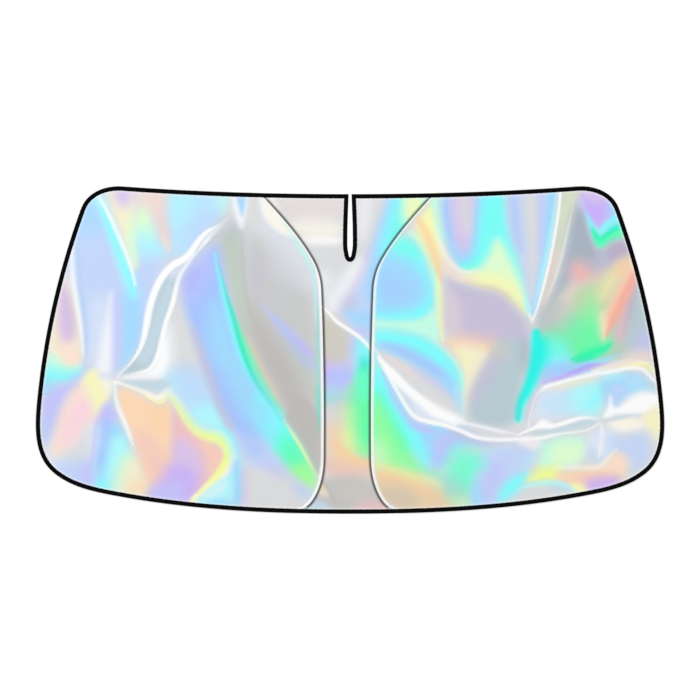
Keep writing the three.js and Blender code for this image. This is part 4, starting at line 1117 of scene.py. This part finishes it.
stroke("pale_cyan", 1.3, (38.6, -32.2), (42.6, -30.8), (47.6, -30.6), (50.4, -31.6), (53.4, -33.4), soft=1.2,
       strength=0.9)
stroke("ivory", 1.2, (47, -27.4), (52, -27), (57.6, -27.4), (59.6, -25), (61.6, -22.8), soft=1.2,
       strength=0.7)
# arms of the star
patch("mist", 0.7, (45, -18.2), (50, -17.2), (54, -16.2), (57.4, -16.4), (54.6, -17.6), (49, -18.6),
      (41, -19.8))
patch("mist", 0.5, (58, -16.3), (61, -16.2), (65, -15.2), (68, -14.9), (64, -14.7), (60, -15.6))
stroke("white", 0.8, (38.8, -19.6), (41.4, -18.4), (44, -17.4), (47, -17.7), (50.4, -16.5), (54, -15.4),
       (57.4, -16), soft=0.8, tips=(0.4, 0.3))
patch("white", 0.5, (42.2, -18), (44.6, -15.5), (47.6, -17.9), (44.6, -18.1))
patch("white", 0.6, (58, -15.9), (59.6, -13.4), (60.1, -9.6), (60.6, -13.8), (65, -12.6), (61, -15.2))
patch("white", 0.8, (61, -14.6), (65, -12), (70, -13.4), (66, -14.4), strength=0.9)
# a little more aqua in the foot
patch("aqua", 1.2, (28, -24.6), (32, -25), (32, -28), (28, -28), strength=0.35)
report("lower right")

# %% [markdown]
# The strip between the two channels is printed like the rest, and goes down last because its colours
# end at the seams. A stencil keeps the rest as it is.

# %% Print: middle panel
out_of_channel = np.maximum(*(from_channel(name, places)[0] for name in hoops))
stencil = 1 - ramp(out_of_channel, -1, 1)
# greys and a warm glow left of the slot
patch("silver", 1.5, (-24, 40), (24, 40), (24, -40), (-24, -40))
patch("blush", 2.2, (-20, 37), (-1, 37), (-1, 29), (-12, 29), strength=0.4)
patch("ivory", 1.8, (-15, 30), (-2, 30), (-2, 25.4), (-11, 25.4), strength=0.85)
patch("white", 0.9, (-11, 26.2), (-2, 26.2), (-2, 24.4), (-10, 24.4), strength=0.8)
patch("pearl", 1.4, (-8.6, 18.5), (-5, 18), (-2.6, 16), (-5.6, 12), (-6.6, 14), strength=0.7)
patch("pearl", 1.2, (1, 33), (3.6, 36), (5.4, 36), (4.4, 28), (2.6, 24), strength=0.6)
# periwinkle to cyan and green, right of the slot
patch("periwinkle", 1.6, (9.4, 38), (6, 27), (4, 21), (2.2, 16), (-1.4, 11.6), (-3, 8), (5, 2), (9, 6),
      (14, 38))
patch("sky", 1.5, (10.6, 38), (7, 29), (5.4, 22), (4, 17), (3.4, 11), (8, 11), (12, 38), strength=0.9)
patch("cyan", 1.3, (10.6, 38), (8.4, 30), (6, 22), (9, 18), (14, 22), (16, 38), strength=0.75)
patch("aqua", 1.3, (12, 36), (10, 28), (9.4, 24), (14, 25), (16, 38), strength=0.6)
patch("mint", 1.3, (12.2, 38), (11.4, 29), (16, 25), (20, 38))
patch("lemon", 1.5, (13, 36), (13, 31), (15, 30), (17, 35), strength=0.9)
stroke("lilac", 1.5, (4.4, 24), (3.4, 20), (1.4, 15.6), (-0.6, 12), soft=1.3, strength=0.7)
patch("grey_lilac", 1.4, (-2.4, 12.5), (1, 13), (1.4, 9.6), (-2, 8.6), strength=0.6)
patch("sky", 1.4, (-1.2, 8.8), (2, 9), (6, 9.2), (6, 4.4), (3, 5.4), (0.4, 6), strength=0.85)
patch("lavender", 1, (0.6, 5.2), (3.4, 5.2), (5.4, 3.6), (5, 1.6), (3, 3), strength=0.5)
# the white fold that runs down to the seam
patch("pearl", 1.5, (1.4, 21), (3.6, 20.6), (0.6, 15), (-2.4, 10.6), (-4.6, 7.6), (-6, 9.6), (-4.4, 14),
      (-1.4, 18.4), strength=0.85)
patch("silver", 1.2, (-1.4, 21.6), (-0.6, 18.6), (-4.4, 13.2), (-6.2, 14.6), strength=0.5)
# under the fold: stone, violet, blue grey and a grey green
patch("stone", 1.8, (-8, 9), (-4.6, 8), (-1.2, 5.4), (0.6, 2), (-0.4, -3.4), (-8, -4.4))
patch("lavender", 1.8, (0.2, 4.4), (3, 2.6), (1.6, -3.6), (-0.8, -4.6), strength=0.8)
patch("violet", 2.2, (-8, -2.4), (-3.4, -3.4), (-1, -5), (-2.6, -8), (-8, -7), strength=0.75)
patch("lavender", 1.8, (-5, -3.4), (0.8, -3.4), (1.6, -7), (-1.4, -9.4), (-5, -9), strength=0.9)
patch("blue", 1.6, (-6, -5), (0.6, -4.8), (1.2, -7), (-1, -8.6), (-6, -9), strength=0.5)
patch("sky", 1.6, (-8, -8.4), (0, -8.6), (-0.8, -11), (-2.6, -12.2), (-8, -12.6), strength=0.45)
patch("teal", 1.6, (-8, -10), (-2, -10), (-2.4, -12), (-8, -12.4), strength=0.22)
patch("blush", 2.2, (-8, -14.6), (-4, -14), (-3.4, -19), (-8, -19), strength=0.5)
patch("sage", 2.2, (-4.4, -12), (1, -9.6), (1, -18), (-2.6, -18), strength=0.5)
patch("green", 1.6, (-1.4, -9.4), (1.4, -8.4), (1.6, -14), (-0.6, -14), strength=0.35)
# yellow green that turns orange, then salmon, then grey
patch("lemon", 2.2, (-2.6, -14), (1.6, -13), (2.4, -24), (-1.4, -25), strength=0.55)
patch("orange", 2.4, (-5.4, -17.6), (-2.2, -17.6), (0, -23), (5, -24.6), (5.4, -27.6), (-5.6, -27),
      strength=0.75)
patch("salmon", 2, (-6, -25.4), (-1, -26.4), (5, -27.8), (5.4, -29.4), (-6, -29.2), strength=0.42)
patch("warm_grey", 1.3, (-9, -29.4), (6, -29), (10, -39), (-10, -39), strength=0.75)
patch("stone", 1.8, (-5, -30.6), (4.6, -30.6), (7, -34), (-1, -35.6), strength=0.55)
patch("rose", 1.3, (1.4, -35), (8.6, -34.4), (10, -38), (1, -38), strength=0.75)
patch("ivory", 0.7, (-9, -29.2), (-7.6, -29.6), (-6.4, -31.2), (-4.8, -33.8), (-6.2, -33.6), (-9, -33.2),
      strength=0.6)
stroke("orange", 0.7, (-7.6, -29.8), (-6.6, -31.4), (-5.2, -33.8), soft=1.2, strength=0.7)
stroke("warm_grey", 0.5, (-7, -29.4), (-5.4, -31.4), (-3.6, -34.6), (-2.6, -37), strength=0.7)
patch("mist", 0.8, (-10, -34.6), (-7, -34.4), (-4.6, -36), (-3.6, -38), (-12, -38))
# cyan and green column beside the right seam
patch("cyan", 1.5, (1.4, 3), (4.2, 1.6), (6, -1), (6, -6), (2.4, -9), (1.4, -4), strength=0.95)
patch("teal", 1.3, (2.2, -2), (4.4, -2), (4.6, -6.4), (2.4, -6.4), strength=0.9)
patch("green", 1.8, (1.4, -5), (6, -4.6), (6, -24.4), (1.8, -23.6), (0.4, -14), strength=0.98)
patch("aqua", 1.4, (1.8, -5.4), (4.6, -5.4), (4.6, -11), (1.8, -12), strength=0.6)
patch("leaf", 1.8, (-1, -14), (1.4, -13), (2, -23.4), (-0.6, -23), strength=0.55)
patch("yellow", 1.5, (-2, -18), (0.4, -18.6), (1.4, -23.6), (-1.6, -22), strength=0.35)
patch("leaf", 1.2, (1.6, -21.4), (6, -21.6), (6, -25), (1.8, -24), strength=0.5)
stroke("orange", 1.5, (-3.6, -21.4), (-0.6, -24.4), (3, -26), (6, -26.8), soft=1.4, strength=0.8,
       tips=(0.6, 1))
# the fold's bright line
stroke("white", 0.75, (-6.4, 10), (-4.9, 8.6), (-3.2, 6.6), (-0.6, 4.9), (1.8, 3.3), (3.4, 1.9), (4.8, 0.2),
       (5.6, -1), soft=0.9, tips=(0.5, 0.8))
report("middle panel")

# %% [markdown]
# The seams show in the picture as a bright line on the hoop side, where taut foil climbs the wire, and a
# dark line on the other side, where the cloth dives into the stitching. The bright line is finer where
# the seams slant outwards at the top. Both are painted into the print: a painted highlight on the hoop
# side and painted shade on the seam side. They are stronger than plain shading would give, since foil
# mirrors its surroundings. A weaker painted highlight lies along the cloth just inside the black tape.
# The gloss of the coating will add a little white everywhere, so all inks are first made somewhat richer
# than they should look.

# %% Painted highlights and shade along the seams, painted highlight at the border
RICHNESS = 1.08
TAPE_COVERS = 9
SLANT = (150, 230)
SEAM_HIGHLIGHT_SHARE, SEAM_HIGHLIGHT_RISE = 0.94, (-0.8, 0.8)
SEAM_SHADE_SHARE, SEAM_SHADE_RISE, SEAM_SHADE_FALL = 0.6, (-8.5, -2.5), (-1.4, -0.2)
BORDER_HIGHLIGHT_SHARE, BORDER_HIGHLIGHT_RISE, BORDER_HIGHLIGHT_FALL = 0.4, (TAPE_COVERS, 10.5), (12, 16)

grey = print_colour.mean(axis=1, keepdims=True)
print_colour = np.clip(grey + RICHNESS * (print_colour - grey), 0, 1)
edge, _, _ = edge_near.measure(places)
inside_tape = np.where(edge < TAPE_COVERS, 0, 1)
# Each seam gets a painted highlight on its hoop side and painted shade (dark) on its seam side.
for name in hoops:
    offset, run = from_channel(name, places)
    slant = ramp(places[:, 1], *SLANT)
    seam_highlight = ramp(offset, *SEAM_HIGHLIGHT_RISE) * (1 - ramp(offset, 4.4 - 2.2 * slant, 7.2 - 2.4 * slant))
    seam_highlight *= (0.94 + 0.06 * wave(run, 21, 0.7)) * (1 - 0.15 * slant)
    dark = SEAM_SHADE_SHARE * ramp(offset, *SEAM_SHADE_RISE) * (1 - ramp(offset, *SEAM_SHADE_FALL))
    print_colour += SEAM_HIGHLIGHT_SHARE * (1 - print_colour) * (seam_highlight * inside_tape)[:, None]
    print_colour *= 1 - (dark * inside_tape)[:, None]
# A painted highlight lightens the cloth just inside the black tape, where it turns down to the tape.
border_highlight = BORDER_HIGHLIGHT_SHARE * ramp(edge, *BORDER_HIGHLIGHT_RISE) * (1 - ramp(edge, *BORDER_HIGHLIGHT_FALL))
print_colour += (1 - print_colour) * border_highlight[:, None]
print("tinted points at the border", int((border_highlight > 0.1).sum()))
report("whole print")

# %% [markdown]
# The cloth gets its thickness by solidify. Its underside needs fewer faces than the printed front, so two
# of every three rows and columns are dissolved there. The close columns under the wires stay, because the
# underside has to follow them.

# %% Thickness and back of the cloth
BACK_STRIDE = 3


def kept_behind(column):
    """Whether the underside keeps this column of the front."""
    beyond = abs(column) - MIDDLE_COLUMNS
    band = len(BAND_OFFSETS) - 1
    if beyond < 0:
        return column % BACK_STRIDE == 0
    return beyond <= band or (beyond - band) % BACK_STRIDE == 0


print_layer = cloth_form.verts.layers.float_color.new("print")
linear = np.where(print_colour <= 0.04045, print_colour / 12.92, ((print_colour + 0.055) / 1.055) ** 2.4)
for vert, colour in zip(cloth_form.verts, linear):
    vert[print_layer] = (*colour, 1)
front = set(cloth_form.verts)
bmesh.ops.solidify(cloth_form, geom=cloth_form.faces[:], thickness=CLOTH * MM)
back = {face for face in cloth_form.faces if front.isdisjoint(face.verts)}
for face in cloth_form.faces:
    face.smooth = True
    face.material_index = 0 if front.issuperset(face.verts) else 1
spare = []
for seam in cloth_form.edges:
    a, b = seam.verts
    if not back.issuperset(seam.link_faces):
        continue
    on_spare_row = a[row_of] == b[row_of] and a[row_of] % BACK_STRIDE
    on_spare_column = a[column_of] == b[column_of] and not kept_behind(a[column_of])
    if on_spare_row or on_spare_column:
        spare.append(seam)
bmesh.ops.dissolve_edges(cloth_form, edges=spare, use_verts=True)
print("front", front_faces, "faces, all", len(cloth_form.faces))

# %% [markdown]
# Every piece made here ends the same way: its form becomes a mesh, gets its materials, and rides on
# the shade's one body. It also names the imported parts that it stands for, which are then hidden.

# %% Turn a form into a piece
def piece_from(form, name, materials, instead_of):
    """A finished piece from a form, riding on the shade's one body."""
    mesh = bpy.data.meshes.new(name)
    form.to_mesh(mesh)
    form.free()
    for material in materials:
        mesh.materials.append(material)
    piece = bpy.data.objects.new(name, mesh)
    bpy.context.scene.collection.objects.link(piece)
    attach(piece, "root")
    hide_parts(*instead_of)
    mesh.calc_loop_triangles()
    print(name, len(mesh.loop_triangles), "triangles")
    return piece


# %% [markdown]
# The printed side is satin foil on a fine plain weave. Its colour comes from the points, and a little noise
# keeps it from looking like paper. The underside of such shades is silver coated, to throw the heat back.

# %% Cloth finishes
FIRST_COLOUR, SECOND_COLOUR, MIXED_COLOUR = 6, 7, 2
CLOTH_WEAVE = 0.0007


def bump_from(material, height, strength, distance):
    """Joins a height node to a bump on the material's shader."""
    bump = add_node(material, "Bump")
    bump.inputs["Strength"].default_value = strength
    bump.inputs["Distance"].default_value = distance
    wire_up(material, [
        (height, 0, bump, "Height"),
        (bump, "Normal", material.node_tree.nodes["Principled BSDF"], "Normal"),
    ])


def coordinates_of(material, space="Object"):
    """Texture coordinates, as a node and the name of its output."""
    return add_node(material, "TexCoord"), space


def noise_at(material, coordinates, scale):
    noise = add_node(material, "TexNoise")
    noise.inputs["Scale"].default_value = scale
    noise.inputs["Detail"].default_value = 3.0
    wire_up(material, [(*coordinates, noise, "Vector")])
    return noise


def spread(material, source, low, high):
    """Maps a 0 to 1 value to the given span."""
    node = add_node(material, "MapRange")
    node.inputs["To Min"].default_value = low
    node.inputs["To Max"].default_value = high
    wire_up(material, [(*source, node, "Value")])
    return node


def mottled(material, coordinates, scale, first, second):
    """Colours the material by a noise between two colours, and returns that noise."""
    noise = noise_at(material, coordinates, scale)
    mix = add_node(material, "Mix")
    mix.data_type = "RGBA"
    mix.inputs[FIRST_COLOUR].default_value = (*first, 1)
    mix.inputs[SECOND_COLOUR].default_value = (*second, 1)
    wire_up(material, [
        (noise, "Fac", mix, "Factor"),
        (mix, MIXED_COLOUR, material.node_tree.nodes["Principled BSDF"], "Base Color"),
    ])
    return noise


def weave(material, coordinates, pitch):
    """The height of a plain weave: two crossing waves."""
    waves = []
    for direction in ("X", "Y"):
        wave_node = add_node(material, "TexWave")
        wave_node.bands_direction = direction
        wave_node.inputs["Scale"].default_value = math.pi / (10 * pitch)
        wire_up(material, [(*coordinates, wave_node, "Vector")])
        waves.append(wave_node)
    height = add_node(material, "Math")
    height.operation = "MULTIPLY"
    wire_up(material, [(waves[0], "Fac", height, 0), (waves[1], "Fac", height, 1)])
    return height


foil_print, shader = new_material("foil_print")
coordinates = coordinates_of(foil_print)
colour = add_node(foil_print, "Attribute")
colour.attribute_name = "print"
tone = spread(foil_print, (noise_at(foil_print, coordinates, 420), "Fac"), 0.955, 1.03)
smudges = spread(foil_print, (noise_at(foil_print, coordinates, 14), "Fac"), 0.38, 0.52)
toned = add_node(foil_print, "Mix")
toned.data_type = "RGBA"
toned.blend_type = "MULTIPLY"
toned.inputs["Factor"].default_value = 1.0
wire_up(foil_print, [
    (colour, "Color", toned, FIRST_COLOUR),
    (tone, "Result", toned, SECOND_COLOUR),
    (toned, MIXED_COLOUR, shader, "Base Color"),
    (smudges, "Result", shader, "Roughness"),
])
shader.inputs["Sheen Weight"].default_value = 0.05
shader.inputs["Specular IOR Level"].default_value = 0.35
bump_from(foil_print, weave(foil_print, coordinates, CLOTH_WEAVE), 0.25, 0.00008)

silver_coat, shader = new_material("silver_coat")
coordinates = coordinates_of(silver_coat)
clouds = mottled(silver_coat, coordinates, 9, (0.60, 0.61, 0.63), (0.52, 0.53, 0.56))
sheen = spread(silver_coat, (clouds, "Fac"), 0.34, 0.5)
wire_up(silver_coat, [(sheen, "Result", shader, "Roughness")])
shader.inputs["Metallic"].default_value = 0.7
bump_from(silver_coat, weave(silver_coat, coordinates, CLOTH_WEAVE), 0.35, 0.0001)

printed_cloth = piece_from(
    cloth_form, "printed_cloth", (foil_print, silver_coat), ("shade_panel",))

# %% [markdown]
# Black tape is folded over the edge and sewn through. Where a hoop runs in the border the fold is round,
# and elsewhere it lies flat. Each tape is one cross-section carried along its run. The height comes from
# the distance to the wires, so the tape also rises where a channel passes under it.

# %% Swept strips
TAPE_WIDTH = 10.0
TAPE_TOP = CLOTH_TOP + TAPE
FOLD_TOP = 2 * WIRE_Z
FLAT_FOLD = TAPE_TOP / 2
LEG_INSETS = (TAPE_WIDTH, 8.4, 7.0, 6.0, 5.0, 3.9)
FOLD_REACH = 4.0
TAPE_PUCKER, TAPE_SLACK, TAPE_PUCKER_PITCH = 0.12, 0.35, 8.3


def near_wire(points, nears, reach):
    """1 above a wire, falling to 0 at that reach from it."""
    return tent(np.min([near.measure(points)[0] for near in nears.values()], axis=0), reach)


def tape_height(points):
    """Top of the tape: round over a border wire, and lifted by the cloth where a channel comes in."""
    over_border = (FOLD_TOP - TAPE_TOP) * near_wire(points, border_near, FOLD_REACH)
    over_channel = (RIDGE_TOP + TAPE - TAPE_TOP) * near_wire(points, inner_near, HOOP_FLANK + 1)
    return TAPE_TOP + np.maximum(over_border, over_channel)


def swept(stations, inward, insets, heights):
    """An open sheet through rows of points, one row a station, with its two lengths as UV in metres."""
    rows, columns = insets.shape
    form = bmesh.new()
    bmesh.ops.create_grid(form, x_segments=columns - 1, y_segments=rows - 1, size=1)
    uv = form.loops.layers.uv.new("along_tape")
    run = run_along(stations)
    girth = run_along(np.stack([insets[0], heights[0]], axis=1))
    cells = {}
    for vert in form.verts:
        row = round((vert.co.y + 1) / 2 * (rows - 1))
        column = round((vert.co.x + 1) / 2 * (columns - 1))
        cells[vert] = (run[row] * MM, girth[column] * MM)
        x, y = stations[row] + insets[row, column] * inward[row]
        vert.co = (x * MM, y * MM, heights[row, column] * MM)
    for face in form.faces:
        face.smooth = True
        for loop in face.loops:
            loop[uv].uv = cells[loop.vert]
    form.normal_update()
    form.faces.ensure_lookup_table()
    if form.faces[0].normal.z < 0:
        bmesh.ops.reverse_faces(form, faces=form.faces[:])
    return form


def thickened(form):
    """Gives a tape's outer skin its thickness, inward."""
    bmesh.ops.solidify(form, geom=form.faces[:], thickness=TAPE * MM)
    return form


def folded_tape(stations, inward):
    """The tape's outer skin, from its top edge round the fold to its bottom edge."""
    run = run_along(stations)
    fold_line = stations + WIRE_INSET * inward
    at_wire = np.maximum(
        near_wire(fold_line, border_near, FOLD_REACH), near_wire(fold_line, inner_near, FOLD_REACH))
    fold_inset = FLAT_FOLD + (WIRE_INSET - FLAT_FOLD) * at_wire
    fold_height = FLAT_FOLD + (WIRE_Z - FLAT_FOLD) * at_wire
    insets, heights = [], []
    for i, inset in enumerate(LEG_INSETS):
        slack = TAPE_SLACK * wave(run, TAPE_PUCKER_PITCH, 0.9) * (i == 0)
        pucker = TAPE_PUCKER * (1 + wave(run, TAPE_PUCKER_PITCH, 2.2)) * (i < 3)
        insets.append(inset + slack)
        heights.append(tape_height(stations + inset * inward) + pucker)
    for turn in np.linspace(0, math.pi, 8):
        insets.append(fold_inset * (1 - math.sin(turn)))
        heights.append(fold_height * (1 + math.cos(turn)))
    for inset in LEG_INSETS[4::-2]:
        insets.append(inset + 0 * run)
        heights.append(0 * run)
    return swept(stations, inward, np.stack(insets, axis=1), np.stack(heights, axis=1))


# %% [markdown]
# The binding is two lengths of tape, one round the outside and one round the slot. They meet in a mitre at
# the two corners of the slot's mouth. The tape is a dull black weave, nearly as dark as it can be.

# %% Edge tape and slot tape
CLEAR_OF_CORNER = TAPE_WIDTH + 1.5
EDGE_SPACING, SLOT_SPACING = 3.0, 1.0


def between_corners(line, spacing):
    """Stations between the mouth's corners, with none so near a corner that it would cross the mitre."""
    stations = resampled(line, np.linspace(0, 1, round(run_along(line)[-1] / spacing) + 1))
    from_corner = np.minimum(*(np.hypot(*(stations - end).T) for end in (stations[0], stations[-1])))
    keep = from_corner > CLEAR_OF_CORNER
    keep[[0, -1]] = True
    return stations[keep]


beyond_slot = right_edge[right_edge[:, 0] > right_slot[-1, 0] + 0.5]
right_side = np.vstack([right_slot[-1:], beyond_slot])
edge_stations = between_corners(np.vstack([right_side, mirrored(right_side)[::-1][1:]]), EDGE_SPACING)
slot_stations = between_corners(np.vstack([mirrored(right_slot)[::-1], right_slot[1:]]), SLOT_SPACING)
contour = np.vstack([edge_stations, slot_stations[1:-1]])
inward = rightward(np.vstack([contour[-1:], contour, contour[:1]]))[1:-1]
edge_inward = inward[:len(edge_stations)]
slot_inward = np.vstack([edge_inward[-1:], inward[len(edge_stations):], edge_inward[:1]])
print("stations:", len(edge_stations), "edge,", len(slot_stations), "slot; mitre", edge_inward[0].round(2))

black_tape, shader = new_material("black_tape")
coordinates = coordinates_of(black_tape, "UV")
mottled(black_tape, coordinates, 900, (0.0008, 0.0008, 0.0009), (0.0028, 0.0028, 0.003))
shader.inputs["Roughness"].default_value = 0.72
shader.inputs["Specular IOR Level"].default_value = 0.03
bump_from(black_tape, weave(black_tape, coordinates, 0.0009), 0.6, 0.0002)

edge_tape = piece_from(
    thickened(folded_tape(edge_stations, edge_inward)), "edge_tape", (black_tape,),
    ("edge_binding",))
slot_tape = piece_from(
    thickened(folded_tape(slot_stations, slot_inward)), "slot_tape", (black_tape,),
    ("slot_binding",))

# %% [markdown]
# Behind each channel a grey woven tape closes the pocket that the wire runs in. It ends where the border
# tape begins, so its ends are cut along that edge.

# %% Channel tapes
CHANNEL_TAPE_WIDTH, SELVEDGE_DIP = 12.0, 0.05
SEWN_FROM, REACHES_TO = TAPE_WIDTH + 1, TAPE_WIDTH - 7

grey_tape, shader = new_material("grey_tape")
coordinates = coordinates_of(grey_tape, "UV")
mottled(grey_tape, coordinates, 700, (0.36, 0.37, 0.385), (0.48, 0.49, 0.505))
shader.inputs["Roughness"].default_value = 0.8
bump_from(grey_tape, weave(grey_tape, coordinates, 0.0011), 0.7, 0.0002)

channel_lines, channel_tapes = {}, []
for name, (_, inner) in hoops.items():
    depth = edge_near.measure(inner)[0]
    channel_lines[name] = inner[depth > SEWN_FROM]
    line = inner[depth > REACHES_TO]
    stations = resampled(line, np.linspace(0, 1, int(run_along(line)[-1] / 5)))
    insets = np.repeat([np.linspace(-0.5, 0.5, 5) * CHANNEL_TAPE_WIDTH], len(stations), axis=0)
    section = (TAPE - SELVEDGE_DIP, TAPE, TAPE, TAPE, TAPE - SELVEDGE_DIP)
    heights = np.repeat([section], len(stations), axis=0)
    form = swept(stations, rightward(stations), insets, heights)
    for end in (channel_lines[name][0], channel_lines[name][-1]):
        on_edge = edge_near.points[int(edge_near.measure(end[None])[1][0] / edge_near.step)]
        out = (on_edge - end) / np.hypot(*(on_edge - end))
        cut = (on_edge - out * (TAPE_WIDTH + 0.5)) * MM
        bmesh.ops.bisect_plane(
            form, geom=form.verts[:] + form.edges[:] + form.faces[:], plane_co=(*cut, 0), plane_no=(*out, 0),
            clear_outer=True)
    channel_tapes.append(piece_from(
        thickened(form), f"channel_tape_{name}_woven", (grey_tape,), (f"channel_tape_{name}",)))

# %% [markdown]
# Lockstitch holds the shade together: one row near the inner edge of each black tape, and one row on either
# side of each wire. Every stitch is a small stretched ball of thread, half sunk into the cloth. The same
# rows show on the back.

# %% Stitches
STITCH_PITCH, STITCH_LENGTH, STITCH_THICKNESS = 3.5, 2.5, 0.36
STITCH_INSET, SEAM_OFFSETS = 8.0, (-3.6, 5.2)
BACK_THREAD_Z = 0.02
NEARBY = 0.0005


def stitch_row(line, inward, inset):
    """Middle points and headings of the stitches of one row."""
    row = line + inset * inward
    length = run_along(row)[-1]
    shares = (np.arange(int(length / STITCH_PITCH)) + 0.5) * STITCH_PITCH / length
    middles = resampled(row, shares)
    ahead, behind = np.minimum(shares + NEARBY, 1), np.maximum(shares - NEARBY, 0)
    ways = resampled(row, ahead) - resampled(row, behind)
    return middles, np.arctan2(ways[:, 1], ways[:, 0])


def stitched(rows, name, material):
    """One piece from rows of (line, inward, inset, heights of the front as a function of place)."""
    placed = []
    for line, inward, inset, front_height in rows:
        middles, headings = stitch_row(line, inward, inset)
        for (x, y), heading, top in zip(middles, headings, front_height(middles)):
            for z in (top, BACK_THREAD_Z):
                placed.append(Matrix.Translation((x * MM, y * MM, z * MM)) @ Matrix.Rotation(heading, 4, "Z"))
    stitches = bmesh.new()
    size = Matrix.Diagonal((STITCH_LENGTH, STITCH_THICKNESS, STITCH_THICKNESS, 1))
    bmesh.ops.create_uvsphere(stitches, u_segments=6, v_segments=4, radius=0.5 * MM, matrix=size)
    points, made = [vert.co.copy() for vert in stitches.verts], 1
    while made < len(placed):
        more = min(made, len(placed) - made)
        faces = stitches.faces[:more * len(stitches.faces) // made]
        verts = stitches.verts[:more * len(points)]
        bmesh.ops.duplicate(stitches, geom=verts + faces)
        made += more
    for i, vert in enumerate(stitches.verts):
        vert.co = placed[i // len(points)] @ points[i % len(points)]
    for face in stitches.faces:
        face.smooth = True
    return piece_from(stitches, name, (material,), ())


def thread(name, dark, light):
    """The finish of a thread, mottled between two greys."""
    material, shader = new_material(name)
    mottled(material, coordinates_of(material), 1500, (dark, dark, dark), (light, light, light))
    shader.inputs["Roughness"].default_value = 0.6
    return material


black_thread = thread("black_thread", 0.003, 0.012)
grey_thread = thread("grey_thread", 0.34, 0.46)
border_stitches = stitched([
    (edge_stations, edge_inward, STITCH_INSET, tape_height),
    (slot_stations, slot_inward, STITCH_INSET, tape_height),
], "border_stitches", black_thread)
sewn_rows = []
for name, line in channel_lines.items():
    towards_hoop = rightward(line) * (-1 if name == "right" else 1)
    for offset in SEAM_OFFSETS:
        sewn_rows.append((line, towards_hoop, offset, cloth_heights))
channel_stitches = stitched(sewn_rows, "channel_stitches", grey_thread)

# %% [markdown]
# The wires and their crimped sleeves stay as modelled. They are hidden inside the pockets, and still get
# their metal: a dark spring wire with a fine grain, and a dull aluminium sleeve.

# %% Metal of the hoops
def metal(name, dark, light, roughness):
    """The finish of a metal, mottled between two greys and with a fine grain."""
    material, shader = new_material(name)
    grain = mottled(material, coordinates_of(material), 800, (dark, dark, dark), (light, light, light))
    rough = spread(material, (grain, "Fac"), roughness - 0.08, roughness + 0.08)
    wire_up(material, [(rough, "Result", shader, "Roughness")])
    shader.inputs["Metallic"].default_value = 1.0
    bump_from(material, grain, 0.2, 0.00005)
    return material


spring_steel = metal("spring_steel", 0.30, 0.42, 0.35)
crimped_aluminium = metal("crimped_aluminium", 0.62, 0.74, 0.42)
for name in hoops:
    for node, material in ((f"hoop_wire_{name}", spring_steel), (f"hoop_ferrule_{name}", crimped_aluminium)):
        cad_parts[node].data.materials.clear()
        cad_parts[node].data.materials.append(material)

# %% [markdown]
# The shade lies flat on the floor with nothing pulling at it. A cloth simulation would only press it flat,
# and the wires inside keep its outline, so the low relief is modelled instead.

bpy.context.scene.view_settings.view_transform = "Standard"
